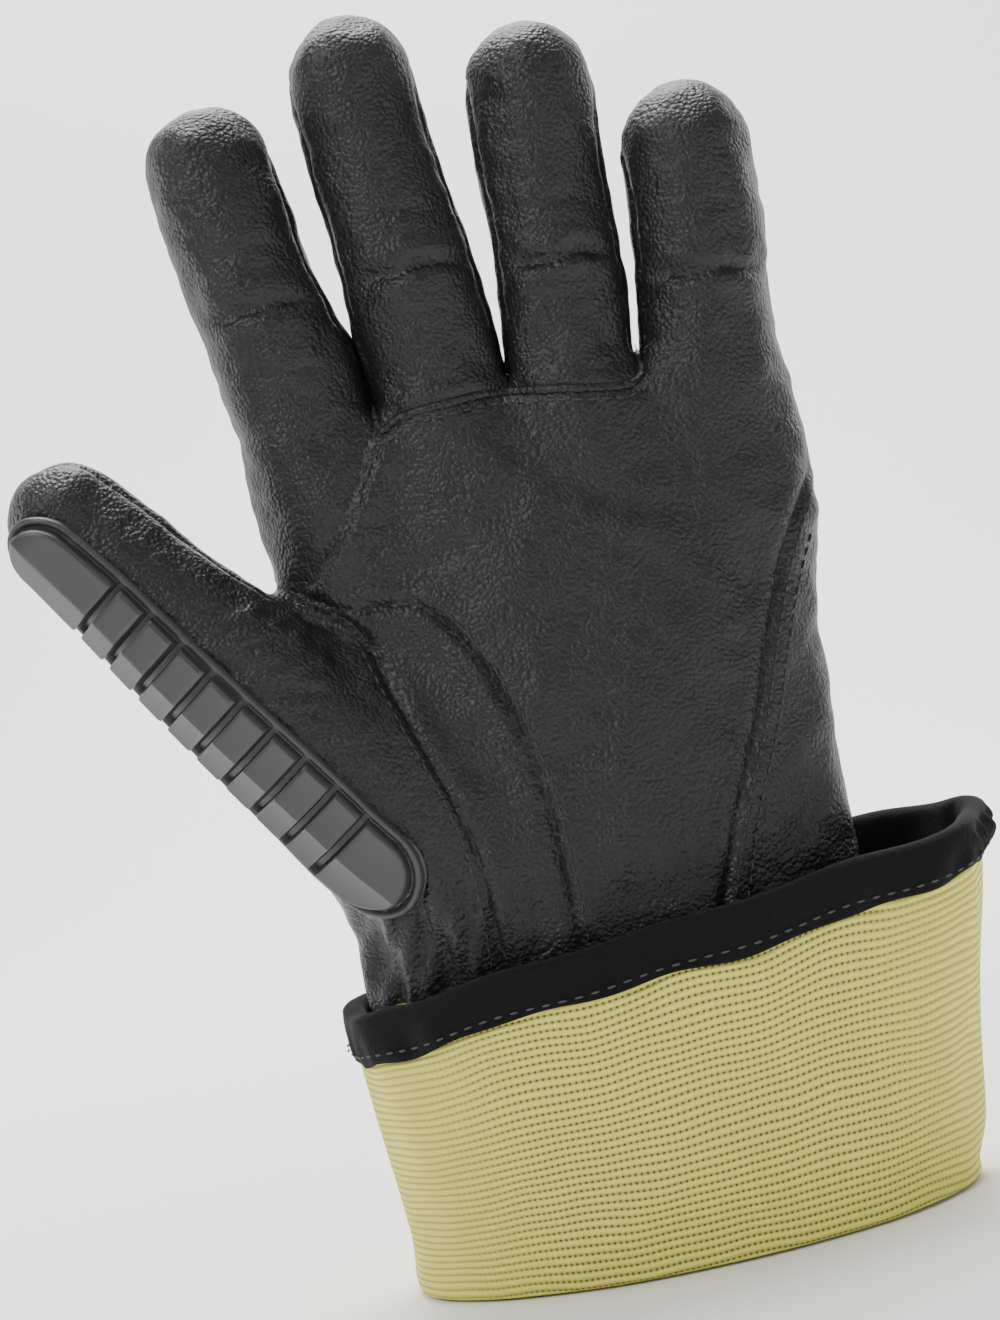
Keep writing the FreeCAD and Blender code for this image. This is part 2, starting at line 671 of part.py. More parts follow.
def level(name, low, high):
    """A wide flat box between two heights, given as formulas."""
    return put(
        "Part::Box", name, {"Height": bound(f"({high}) - ({low})"), ".Placement.Base.z": bound(low)},
        Placement(Vector(-200, -200, 0), Rotation()), Length=400, Width=400,
    )


def cuff_layer(name, outer, inner, tube_outer, tube_inner, low, high):
    """A folded wall trimmed at the rim, a floor with the wrist's hole in it, and the wrist's tube."""
    wall = cut(name + "_wall", outer, inner)
    wall = cut(name + "_trimmed", common(name + "_above", wall, level(name + "_wall_levels", low, CUFF_TOP)), above_rim)
    floor = cut(name + "_floor", common(name + "_disc", outer, level(name + "_floor_levels", low, high)), tube_inner)
    tube = common(name + "_tube", cut(name + "_tube_wall", tube_outer, tube_inner),
                  level(name + "_tube_levels", low, "{wrist_z}"))
    return fuse(name + "_layer", wall, floor, tube)


node(cuff_layer("lining", lining_out, lining_in, wrist_hide_in, wrist_hollow, "0", "{knit}"), "cuff_lining")
node(
    cuff_layer("hide", lining_in, hide_in, wrist_hide_out, wrist_hide_in, "{knit}", "{knit} + {cuff_hide}"),
    "cuff_leather",
)

binding_out = folded_wall("binding_out", "0 - {binding_cloth}", "0")
binding_in = folded_wall("binding_in", "{knit} + {cuff_hide} + {binding_cloth}", "0")
edge = cut("cuff_edge", cut("cuff_edge_ring", lining_out, hide_in), above_rim)
band = cut("binding_band", cut("binding_ring", binding_out, binding_in), fuse("binding_ends", below_binding, above_binding))
node(cut("cuff_binding_piece", band, edge), "cuff_binding")

# ---- Wrist elastic, between the lining and the back of the hand ----

elastic_layer = cut("elastic_layer", hand_loft("elastic_out", bound("{leather} + {knit}")),
                    hand_loft("elastic_in", bound("{leather} + {knit} + 1")))
ELASTIC_REACH, ELASTIC_THUMB_REACH = 32, 18  # from the middle, shorter on the side that the thumb's lining swings over
elastic_zone = slab(
    "elastic_zone", Placement(),
    (size("wrist_x") - ELASTIC_THUMB_REACH, 2, size("elastic_z") - size("elastic_wide") / 2),
    (size("wrist_x") + ELASTIC_REACH, 100, size("elastic_z") + size("elastic_wide") / 2),
)
node(common("elastic_piece", elastic_layer, elastic_zone), "wrist_elastic")


# ---- Welt and stitching: raised on the leather along the seams ----

thread_layer = cut("thread_layer", hand_loft("thread_out", bound("0 - {thread}")), palm_solid["outside"])
welt_layer = cut("welt_layer", grown_hand["base"], hand_solid["outside"])


def ribbon(name, line, wide):
    """A curtain of a given width that follows a line, through the palm side."""
    steps = 24
    first, last = line.FirstParameter, line.LastParameter
    left, right = [], []
    for k in range(steps + 1):
        t = first + (last - first) * k / steps
        point = line.value(t)
        along = Vector(*line.tangent(t)[0])
        side = Vector(along.z, 0, -along.x) * (wide / 2)
        left.append(point + side)
        right.append(point - side)
    corners = left + right[::-1]
    return extruded(name, Part.Face(Part.makePolygon(corners + corners[:1])), Vector(0, 1, 0), 160)


def stitches(name, line, shift):
    """A row of short bars through the palm side, set off to one side of a seam."""
    first, last = line.FirstParameter, line.LastParameter
    count = int(line.length() / size("stitch_pitch"))
    long, wide = size("stitch_long"), size("thread")
    bars = []
    for k in range(count):
        t = line.parameterAtDistance((k + 0.5) * size("stitch_pitch"), first)
        along = Vector(*line.tangent(t)[0])
        side = Vector(along.z, 0, -along.x)
        middle = line.value(t) + side * shift
        bar = Part.makeBox(long, 60, wide, Vector(-long / 2, -60, -wide / 2))
        bar.Placement = Placement(middle, Rotation(Vector(0, 1, 0), -math.degrees(math.atan2(along.z, along.x))))
        bars.append(bar)
    return shape(name, Part.makeCompound(bars))


SEAM_MARGIN = 1.8  # between a seam and the stitches beside it
SEAM_END = 0.92  # the thumb's row stops at this share of its seam, below the gusset's row
beside_seam = seam_across * SEAM_MARGIN
thumb_seam = Part.LineSegment(seam_foot + beside_seam, seam_foot + (crotch - seam_foot) * SEAM_END + beside_seam)
above_cuff = slab("above_cuff", rim_frame, (-200, -200, 1), (200, 200, 300))
front_threads = common("front_threads", thread_layer, above_cuff)
rows = {
    "thumb_seam_thread": [(thumb_seam, 0.0)],
    "gusset_thread": [(smooth_line(GUSSET_SEAM), SEAM_MARGIN)],
    "wedge_thread": [(smooth_line(WEDGE_SEAM), -SEAM_MARGIN), (smooth_line(WEDGE_SEAM), -SEAM_MARGIN - 2.5)],
}
for label, lines in rows.items():
    tools = [stitches(f"{label}_{i}", line, shift) for i, (line, shift) in enumerate(lines)]
    tool = tools[0] if len(tools) == 1 else put("Part::Compound", label + "_rows", Links=tools)
    node(common(label + "_piece", front_threads, tool), label)

front_of_hand = slab("front_of_hand", Placement(), (-200, -100, 0), (200, 0, 300))
node(common("welt_piece", welt_layer, ribbon("welt_ribbon", smooth_line(WELT_LINE), 2.0), front_of_hand), "finger_base_welt")


# ---- Check, then write one file per sub-part ----

doc.recompute()
faults = [thing.Name for thing in doc.Objects if "Invalid" in thing.State or "Error" in thing.State]
for thing in nodes:
    if thing.Shape.isNull() or not thing.Shape.Solids or not thing.Shape.isValid():
        faults.append(thing.Label)
if faults:
    raise RuntimeError("these objects failed: " + ", ".join(faults))

os.makedirs("parts", exist_ok=True)
for thing in nodes:
    thing.Shape.exportStep(f"parts/{thing.Label}.step")
print(len(nodes), "sub-parts")
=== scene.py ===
import functools
import math

import bmesh
import bpy
import numpy as np
from mathutils import Matrix, Vector

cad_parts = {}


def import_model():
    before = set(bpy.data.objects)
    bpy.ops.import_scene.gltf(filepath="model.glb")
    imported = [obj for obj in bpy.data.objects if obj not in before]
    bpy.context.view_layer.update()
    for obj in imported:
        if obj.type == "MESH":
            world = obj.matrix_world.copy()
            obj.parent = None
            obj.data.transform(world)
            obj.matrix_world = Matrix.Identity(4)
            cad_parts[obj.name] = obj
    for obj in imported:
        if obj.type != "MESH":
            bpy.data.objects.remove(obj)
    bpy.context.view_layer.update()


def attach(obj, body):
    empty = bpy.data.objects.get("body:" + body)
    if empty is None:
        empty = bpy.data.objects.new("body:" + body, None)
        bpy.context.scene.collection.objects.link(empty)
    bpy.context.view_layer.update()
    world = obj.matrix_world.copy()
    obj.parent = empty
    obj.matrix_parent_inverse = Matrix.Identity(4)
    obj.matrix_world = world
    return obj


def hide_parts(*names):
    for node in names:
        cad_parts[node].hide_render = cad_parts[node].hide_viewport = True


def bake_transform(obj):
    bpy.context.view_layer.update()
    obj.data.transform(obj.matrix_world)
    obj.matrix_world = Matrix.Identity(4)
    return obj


bl_info = {
    "name": "Leather Work Glove",
    "version": (1, 0, 0),
    "blender": (4, 5, 0),
    "location": "3D View > Sidebar > Glove",
    "description": "Dresses the work glove's frame in leather, knit, rubber and stitching",
    "category": "Object",
}

# Lengths are in millimetres in the frame's axes (+X little finger, -Y palm, +Z fingertips). The settings, the
# materials, the stitches' own sizes and the stage are in metres. Meshes are made in millimetres and turned to
# metres as they are built.
MM = 0.001
SEED = 7

# ---- Sizes and colours ----


class GloveSettings(bpy.types.PropertyGroup):
    leather: bpy.props.FloatProperty(
        name="Leather", description="Thickness of the leather", default=0.0012, unit="LENGTH")
    knit: bpy.props.FloatProperty(
        name="Knit", description="Thickness of the lining", default=0.0016, unit="LENGTH")
    cell: bpy.props.FloatProperty(
        name="Cell", description="Grid cell that the skin is modelled on", default=0.00115, unit="LENGTH")
    seam_depth: bpy.props.FloatProperty(
        name="Seam Depth", description="How far a seam pulls the leather in", default=0.0010, unit="LENGTH")
    crease_depth: bpy.props.FloatProperty(
        name="Crease Depth", description="How deep the finger creases are", default=0.0016, unit="LENGTH")
    stitch: bpy.props.FloatProperty(
        name="Stitch", description="Length of a stitch", default=0.0020, unit="LENGTH")
    stitch_pitch: bpy.props.FloatProperty(
        name="Stitch Pitch", description="Distance from stitch to stitch", default=0.0029, unit="LENGTH")
    thread: bpy.props.FloatProperty(
        name="Thread", description="Thickness of the thread", default=0.00055, unit="LENGTH")
    grain: bpy.props.FloatProperty(
        name="Grain", description="Width of a pebble of the leather's grain", default=0.0009, unit="LENGTH")
    leather_colour: bpy.props.FloatVectorProperty(
        name="Leather Colour", description="Colour of the goatskin",
        default=(0.0085, 0.0085, 0.009), subtype="COLOR")
    rubber_colour: bpy.props.FloatVectorProperty(
        name="Rubber Colour", description="Colour of the guards",
        default=(0.040, 0.040, 0.041), subtype="COLOR")
    knit_colour: bpy.props.FloatVectorProperty(
        name="Knit Colour", description="Colour of the lining",
        default=(0.72, 0.66, 0.13), subtype="COLOR")
    binding_colour: bpy.props.FloatVectorProperty(
        name="Binding Colour", description="Colour of the binding",
        default=(0.006, 0.006, 0.0065), subtype="COLOR")
    thread_colour: bpy.props.FloatVectorProperty(
        name="Thread Colour", description="Colour of the seams' thread",
        default=(0.022, 0.022, 0.023), subtype="COLOR")


def settings():
    return bpy.context.scene.glove


def mm(name):
    """A length setting in millimetres."""
    return getattr(settings(), name) / MM


# ---- Shape of the hand ----

ROOT_Z, CURL = 168.0, math.radians(3)
# Each finger: root across, lean, root to crease, half the length that bends, then (height, across, radius).
FINGERS = {
    "index": (-26.95, 9.2, 42.5, 14.0, [
        (150, -26.5, 14.8), (166, -27.5, 15.0), (188, -30, 14.5), (200, -31.5, 14.7), (212, -34, 14.0),
        (224, -36.2, 13.7), (236, -37.8, 13.6), (241.8, -38.8, 12.8)]),
    "middle": (0.45, 3.8, 44.0, 14.0, [
        (150, 0.5, 14.5), (185, -0.3, 14.1), (200, -1, 14.4), (212, -2, 14.5), (224, -3, 14.0),
        (236, -4.2, 13.3), (248, -5, 13.4), (254.2, -5.6, 13.1)]),
    "ring": (27.85, -2.7, 40.0, 12.0, [
        (150, 27.5, 14.0), (188, 28, 13.4), (200, 29.2, 13.2), (206, 29.8, 13.3), (224, 30.3, 13.3),
        (242, 30.9, 13.4), (246, 31.3, 13.0)]),
    "little": (55.25, -5.9, 30.0, 10.0, [
        (150, 56, 15.0), (176, 56.5, 14.4), (188, 57.5, 14.3), (200, 59.5, 14.0), (212, 60.8, 14.2),
        (224, 61.3, 14.0), (225.8, 61.4, 13.7)]),
}
# Palm: height, middle across, half width, half depth.
PALM = [(50, 11.5, 53.5, 23), (75, 12.5, 54, 23.5), (95, 13, 53.5, 23), (114, 15, 52.5, 21.5),
        (135, 17, 53, 19.5), (153, 16, 55.5, 17.5), (170, 14.5, 57, 15.5), (186, 13.8, 56, 12.5)]
# Thumb: its axis, then (distance along, radius).
THUMB_A, THUMB_B = np.array([-14.0, -4.0, 84.0]), np.array([-81.3, -15.0, 174.3])
THUMB = [(0, 20.5), (25, 22.3), (38, 20.3), (60, 17.9), (78, 15.9), (97, 13.4), (108, 12.6), (113.3, 12.2)]
THUMB_END = 113.3


def smooth_table(points, column, sigma=5.0):
    """A smooth function through (place, value) pairs."""
    place = np.array([p[0] for p in points], float)
    value = np.array([p[column] for p in points], float)
    grid = np.arange(place[0] - 30, place[-1] + 30, 0.5)
    dense = np.interp(grid, place, value)
    reach = int(sigma * 6)
    kernel = np.exp(-0.5 * (np.arange(-reach, reach + 1) * 0.5 / sigma) ** 2)
    padded = np.pad(dense, reach, mode="edge")
    smoothed = np.convolve(padded, kernel / kernel.sum(), mode="valid")
    return lambda q: np.interp(q, grid, smoothed)


FINGER_TABLES = {
    n: (smooth_table(f[4], 1), smooth_table(f[4], 2, 3.0), f[4][-1][0]) for n, f in FINGERS.items()
}
PALM_TABLES = [smooth_table(PALM, c, 8.0) for c in (1, 2, 3)]
THUMB_TABLE = smooth_table(THUMB, 1, 4.0)
THUMB_W = (THUMB_B - THUMB_A) / np.linalg.norm(THUMB_B - THUMB_A)
THUMB_U = np.cross([0.0, 1.0, 0.0], THUMB_W)
THUMB_U /= np.linalg.norm(THUMB_U)
THUMB_V = np.cross(THUMB_W, THUMB_U)


def smooth_min(a, b, k):
    h = np.maximum(k - np.abs(a - b), 0) / k
    return np.minimum(a, b) - h * h * k / 4


def ramp(x, low, high):
    t = np.clip((x - low) / (high - low), 0, 1)
    return t * t * (3 - 2 * t)


def finger_middle_y(z):
    return -np.tan(CURL) * (z - ROOT_Z) - 1.2 * ramp(z, 215, 265)


def finger_distance(p, name):
    across, radius, end = FINGER_TABLES[name]
    z = np.minimum(p[:, 2], end)
    over = np.maximum(p[:, 2] - end, 0) + np.maximum(146 - p[:, 2], 0)
    deep = (p[:, 1] - finger_middle_y(z)) / 0.95
    return np.sqrt((p[:, 0] - across(z)) ** 2 + deep ** 2 + over ** 2) - radius(z)


def palm_distance(p):
    x, y, z = p[:, 0], p[:, 1], p[:, 2]
    middle, wide, deep = (t(z) for t in PALM_TABLES)
    k0 = np.sqrt(((x - middle) / wide) ** 2 + (y / deep) ** 2)
    k1 = np.sqrt(((x - middle) / wide ** 2) ** 2 + (y / deep ** 2) ** 2)
    side = k0 * (k0 - 1) / np.maximum(k1, 1e-4)
    return -smooth_min(-side, -(z - 181.0), 10)


def thumb_local(p):
    q = p - THUMB_A
    return q @ THUMB_U, q @ THUMB_V, q @ THUMB_W


def thumb_distance(p):
    u, v, w = thumb_local(p)
    over = np.maximum(w - THUMB_END, 0) + np.maximum(-w, 0)
    flat = 0.90 + 0.07 * ramp(w, 20, 70)
    return np.sqrt(u ** 2 + (v / flat) ** 2 + over ** 2) - THUMB_TABLE(np.clip(w, 0, THUMB_END))


def hand_distance(p):
    """Signed distance to the outside of the leather, before wrinkles."""
    hand = smooth_min(palm_distance(p), thumb_distance(p), 9)
    fingers = finger_distance(p, "index")
    for name in ("middle", "ring", "little"):
        fingers = smooth_min(fingers, finger_distance(p, name), 1.8)
    return smooth_min(hand, fingers, 7)


def gradient(p, step=0.4):
    g = np.empty_like(p)
    for axis in range(3):
        d = np.zeros(3)
        d[axis] = step
        g[:, axis] = hand_distance(p + d) - hand_distance(p - d)
    return g / np.maximum(np.linalg.norm(g, axis=1, keepdims=True), 1e-9)


# ---- Seams, as lines in the plane of the palm ----

THUMB_SEAM = [(-60, 260), (-52, 180), (-47.5, 163), (-43.5, 155), (-37, 148.5), (-31, 144.5), (-27, 140),
              (-24, 131), (-20, 118), (-16, 106), (-13, 93), (-12, 78), (-13, 62), (-13.5, 40)]
GUSSET_SEAM = [(-60, 170), (-45, 156), (-36, 149), (-27, 144.2), (-20, 144), (-14, 142.5), (-9, 137),
               (-4, 128), (0, 117), (3, 103), (4, 88), (4, 40)]
WEDGE_SEAM = [(78, 166), (70, 149), (66, 143), (60, 131), (54, 116), (49, 103), (43, 91), (38, 78),
              (34, 66), (27, 40)]
WELT = [(-14.6, 202), (-14.4, 181), (-10, 182), (0, 182.6), (10, 183), (20, 181.6), (30, 179.6), (37, 178.7),
        (40.5, 179.6), (42, 183), (42, 202)]
RIDGE = [(-37, 148), (-31, 153.5), (-25, 160), (-19.5, 168), (-15, 177)]


def curve_through(points, step=1.5):
    """A smooth dense line through points."""
    p = np.array(points, float)
    p = np.vstack([2 * p[0] - p[1], p, 2 * p[-1] - p[-2]])
    out = []
    for i in range(1, len(p) - 2):
        n = max(2, int(np.linalg.norm(p[i + 1] - p[i]) / step))
        t = np.linspace(0, 1, n, endpoint=False)[:, None]
        a, b, c, d = p[i - 1], p[i], p[i + 1], p[i + 2]
        square, cube = 2 * a - 5 * b + 4 * c - d, 3 * b - a - 3 * c + d
        out.append(0.5 * (2 * b + (c - a) * t + square * t ** 2 + cube * t ** 3))
    return np.vstack(out + [p[-2:-1]])


def side_of(line, x, z):
    """Signed distance in the plane of the palm to a line, positive on its right as it is walked."""
    best, sign = np.full(len(x), 1e9), np.ones(len(x))
    for (ax, az), (bx, bz) in zip(line[:-1], line[1:]):
        dx, dz = bx - ax, bz - az
        t = np.clip(((x - ax) * dx + (z - az) * dz) / (dx * dx + dz * dz), 0, 1)
        ox, oz = x - ax - t * dx, z - az - t * dz
        d = np.hypot(ox, oz)
        nearer = d < best
        best[nearer] = d[nearer]
        sign[nearer] = np.sign(dz * ox - dx * oz)[nearer]
    sign[sign == 0] = 1
    return best * sign


LINES = {n: curve_through(l) for n, l in dict(
    thumb=THUMB_SEAM, gusset=GUSSET_SEAM, wedge=WEDGE_SEAM, welt=WELT, ridge=RIDGE).items()}


def nearest_finger(x, z):
    """Index of the finger whose middle line is nearest."""
    gaps = [np.abs(x - FINGER_TABLES[n][0](np.minimum(z, FINGER_TABLES[n][2]))) for n in FINGERS]
    return np.argmin(gaps, axis=0)


def finger_frame(name):
    """Root, then the across, back and tip directions of a finger."""
    root, lean = FINGERS[name][0], math.radians(FINGERS[name][1])
    turn = Matrix.Rotation(-lean, 3, "Y") @ Matrix.Rotation(CURL, 3, "X")
    return np.array([root, 0, ROOT_Z]), *[np.array(turn.col[i]) for i in range(3)]


def fields(p):
    """Where each point lies from every seam; panels are told apart by the signs."""
    x, y, z = p.T
    thumb = -side_of(LINES["thumb"], x, z)
    which = nearest_finger(x, z)
    split, tip, radius, across = (np.zeros(len(p)) for _ in range(4))
    for i, name in enumerate(FINGERS):
        root, _, _, axis = finger_frame(name)
        m = which == i
        split[m] = (p[m] - root) @ axis - (FINGERS[name][2] - FINGERS[name][3])
        end = FINGER_TABLES[name][2]
        tip[m] = z[m] - end
        radius[m] = FINGER_TABLES[name][1](np.minimum(z[m], end))
        across[m] = (x[m] - FINGER_TABLES[name][0](np.minimum(z[m], end))) / radius[m]
    depth = y * math.cos(CURL) + (z - ROOT_Z) * math.sin(CURL)
    # The outer sides of the index and little fingers have one seam; every other side has a strip.
    outer = np.where(which == 0, ramp(-across, 0.0, 0.8), np.where(which == 3, ramp(across, 0.0, 0.8), 0.0))
    middle = 1.0 + 2.5 * outer
    half = 5.2 * (1 - outer) * (1 - ramp(tip, -10, 9))
    u, v, _ = thumb_local(p)
    return {
        "thumb": thumb, "finger": split, "front": depth - middle + half, "back": depth - middle - half,
        "thumb_back": v - (2.0 - 6.0 * np.tanh(u / 8)), "gusset": side_of(LINES["gusset"], x, z),
        "wedge": side_of(LINES["wedge"], x, z), "welt": side_of(LINES["welt"], x, z),
        "which": which, "across": across,
    }


# ---- Cutting and closing meshes ----

def split_mesh(v, f, value, chosen=None):
    """Cuts triangles along value = 0, so that the line runs through their edges."""
    value = np.where(np.abs(value) < 0.12, 0.0, value)
    sign = np.sign(value)
    crossing = sign[f] * sign[np.roll(f, -1, axis=1)] < 0
    if chosen is not None:
        crossing &= chosen[:, None]
    count = crossing.sum(1)
    a, b = f[crossing], np.roll(f, -1, axis=1)[crossing]
    low, high = np.minimum(a, b), np.maximum(a, b)
    keys, back = np.unique(low.astype(np.int64) * len(v) + high, return_inverse=True)
    low, high = (keys // len(v)).astype(int), (keys % len(v)).astype(int)
    t = (value[low] / (value[low] - value[high]))[:, None]
    fresh = v[low] * (1 - t) + v[high] * t
    made = np.full(f.shape, -1)
    made[crossing] = len(v) + back
    out = [f[count == 0]]
    for lone in range(3):  # two edges cross: the corner between them stands alone
        e0, e2 = lone, (lone + 2) % 3
        m = (count == 2) & crossing[:, e0] & crossing[:, e2]
        c, n, l = f[m, lone], f[m, (lone + 1) % 3], f[m, (lone + 2) % 3]
        i, j = made[m, e0], made[m, e2]
        out += [np.stack(s, 1) for s in ((c, i, j), (i, n, l), (i, l, j))]
        m = (count == 1) & crossing[:, e0]
        c, n, l, i = f[m, lone], f[m, (lone + 1) % 3], f[m, (lone + 2) % 3], made[m, e0]
        out += [np.stack(s, 1) for s in ((c, i, l), (i, n, l))]
    return np.vstack([v, fresh]), np.vstack(out)


def vertex_normals(v, f):
    n = np.zeros_like(v)
    face = np.cross(v[f[:, 1]] - v[f[:, 0]], v[f[:, 2]] - v[f[:, 0]])
    for i in range(3):
        np.add.at(n, f[:, i], face)
    return n / np.maximum(np.linalg.norm(n, axis=1, keepdims=True), 1e-12)


def noise(p, low, high, count, seed):
    """Smooth random waves between two wavelengths, about -1 to 1."""
    rng = np.random.default_rng(seed)
    total = np.zeros(len(p))
    for _ in range(count):
        d = rng.normal(size=3)
        d *= 2 * math.pi / (np.linalg.norm(d) * rng.uniform(low, high))
        total += np.sin(p @ d + rng.uniform(0, 2 * math.pi))
    return total / math.sqrt(count)


CREASES = [  # across, height, half length, slope, depth
    (-34.0, 210.0, 13, 0.06, 1.0), (-1.5, 211.5, 14, 0.02, 1.25), (30.0, 207.5, 13, -0.03, 1.2),
    (59.7, 198.5, 13, -0.10, 0.9), (-35.5, 222.0, 9, 0.10, 0.35), (-2.5, 223.5, 9, -0.05, 0.35),
    (30.5, 219.0, 9, 0.05, 0.35), (-31.0, 196.0, 9, -0.12, 0.4), (60.5, 211.0, 8, 0.05, 0.3),
]


def bell(d, width):
    return np.exp(-(d / width) ** 2)


def relief(p, n, field):
    """How far the leather stands out from the smooth hand: seams, creases, gathers and soft folds."""
    x, y, z = p.T
    facing = ramp(-n[:, 1], -0.1, 0.5)
    depth = mm("seam_depth")
    out = 0.42 * noise(p, 14, 34, 30, SEED) + 0.16 * noise(p, 5, 11, 30, SEED + 1)
    on_hand = field["thumb"] > 0

    def seam(d, where, deep=1.0, puff=0.35):
        d = np.abs(d)
        gather = 1 + 0.15 * np.sin((x + z) * 1.15) * bell(d - 2.5, 2.5)
        return where * (-deep * depth * bell(d, 0.75) + puff * gather * bell(d - 3.0, 2.2))

    out += seam(field["thumb"], facing * ramp(-(z - 150), -4, 4))
    out += seam(field["gusset"], facing * on_hand * (z < 152))
    out += seam(field["wedge"], facing * on_hand, 1.0, 0.45)
    out += seam(field["welt"], facing * (z < 186), 0.6, 0.5)
    high = (z > 186) | (np.abs(field["across"]) > 0.3)
    out += seam(field["front"], on_hand * high, 0.8, 0.25)
    out += seam(field["back"], on_hand * high, 0.8, 0.25)
    out += seam(field["thumb_back"], ~on_hand * 1.0, 0.8, 0.25)
    # A fold runs from the thumb's crotch to the root of the index finger.
    ridge = side_of(LINES["ridge"], x, z)
    near = facing * ramp(z, 147, 152) * ramp(-z, -182, -172)
    out += near * (1.5 * bell(ridge - 1.2, 2.2) - 1.2 * bell(ridge + 2.6, 1.7) - 0.5 * bell(ridge - 6, 2.5))
    # Creases across the fingers, each with a roll above and below.
    for cx, cz, half, slope, deep in CREASES:
        d = z - cz - slope * (x - cx) - 0.35 * np.sin((x - cx) * 0.45)
        reach = facing * ramp(-np.abs(x - cx), -half, -half * 0.55)
        out += reach * deep * mm("crease_depth") / 1.6 * (
            -1.15 * bell(d, 1.1) + 0.55 * bell(d - 3.6, 2.2) + 0.45 * bell(d + 3.4, 2.2))
    # Gathers where elastic pulls the wrist in, below the thumb and on the back.
    gather = ramp(-z, -94, -80) * ramp(z, 55, 64)
    left = ramp(-x, -6, 22)
    wave = np.sin(x * 0.55 + 1.1 * np.sin(z * 0.17)) + 0.35 * np.sin(x * 1.3 - z * 0.3)
    out += gather * (left * facing * 1.2 + 0.9 * ramp(n[:, 1], 0, 0.6)) * wave
    # Long soft folds in the palm, from the root of the thumb upwards and out.
    for ax, az, dx, dz, width, height in ((6, 120, 0.45, 0.9, 3.2, 0.55), (22, 108, 0.35, 0.94, 4.0, 0.45),
                                          (30, 150, -0.8, 0.6, 3.5, 0.5), (-2, 160, 0.95, 0.3, 3.0, 0.45),
                                          (48, 140, 0.1, 1.0, 3.5, 0.45), (14, 86, 0.9, -0.2, 4.0, 0.4)):
        s = (x - ax) * dx + (z - az) * dz
        d = (x - ax) * dz - (z - az) * dx + 1.5 * np.sin(s * 0.11)
        out += facing * height * bell(s, 20) * (bell(d, width) - 0.8 * bell(d - 2 * width, width))
    # Fine wrinkles run with the creases, at the thumb's root and above the crotches.
    fine = noise(p * [0.35, 0.6, 1.0], 2.6, 5.0, 40, SEED + 2)
    spots = [(-34, 210, 10, 7), (-1.5, 211, 12, 11), (30, 208, 12, 10), (60, 199, 10, 7), (-2, 186, 12, 5),
             (30, 183, 12, 5), (-38, 130, 14, 16), (-24, 158, 9, 12), (-48, 142, 12, 12)]
    for cx, cz, wide, tall in spots:
        out += 0.26 * fine * facing * np.exp(-((x - cx) / wide) ** 2 - ((z - cz) / tall) ** 2)
    return np.maximum(out, -1.6)


@functools.lru_cache(maxsize=1)
def skin():
    """The whole outside of the leather: points, triangles, normals, seam fields and smooth rest points."""
    import openvdb
    cell = mm("cell")
    low, high = np.array([-101.0, -40.0, 54.0]), np.array([80.0, 30.0, 271.0])
    count = np.ceil((high - low) / cell).astype(int)
    axes = [low[i] + cell * np.arange(count[i]) for i in range(3)]
    grid = np.empty(count, np.float32)
    for i, x in enumerate(axes[0]):
        yy, zz = np.meshgrid(axes[1], axes[2], indexing="ij")
        p = np.stack([np.full(yy.size, x), yy.ravel(), zz.ravel()], 1)
        grid[i] = hand_distance(p).reshape(yy.shape)
    volume = openvdb.FloatGrid(10.0)
    volume.copyFromArray(np.clip(grid, -5 * cell, 5 * cell))
    v, quads = volume.convertToQuads(isovalue=0.0)
    v = np.array(v, float) * cell + low
    quads = np.array(quads, int)
    f = np.vstack([quads[:, [0, 1, 2]], quads[:, [0, 2, 3]]])
    for _ in range(3):
        v -= hand_distance(v)[:, None] * gradient(v)
    ab, ac = v[f[:, 1]] - v[f[:, 0]], v[f[:, 2]] - v[f[:, 0]]
    if np.mean(np.einsum("ij,ij->i", np.cross(ab, ac), gradient(v[f].mean(1)))) < 0:
        f = f[:, ::-1].copy()
    v, f = split_mesh(v, f, v[:, 2] - 58.0)
    f = f[v[f].mean(1)[:, 2] > 58.0]
    kept = np.unique(f)
    place = np.full(len(v), -1)
    place[kept] = np.arange(len(kept))
    v, f = v[kept], place[f]

    def cut(name, chosen):
        nonlocal v, f
        field = fields(v)
        v, f = split_mesh(v, f, field[name], chosen(field, f))

    def mean(field, name, f):
        return field[name][f].mean(1)

    def everywhere(field, f):
        return np.ones(len(f), bool)

    def hand(field, f):
        return mean(field, "thumb", f) > 0

    def thumb(field, f):
        return mean(field, "thumb", f) < 0

    def palm(field, f):
        return hand(field, f) & (mean(field, "front", f) < 0) & (mean(field, "finger", f) < 0)

    cut("thumb", everywhere)
    cut("finger", hand)
    cut("front", hand)
    cut("back", hand)
    cut("thumb_back", thumb)
    cut("gusset", palm)
    cut("wedge", palm)
    cut("welt", palm)
    field = fields(v)
    n = vertex_normals(v, f)
    smooth = v.copy()
    v = v + n * relief(v, n, field)[:, None]
    return v, f, vertex_normals(v, f), field, smooth


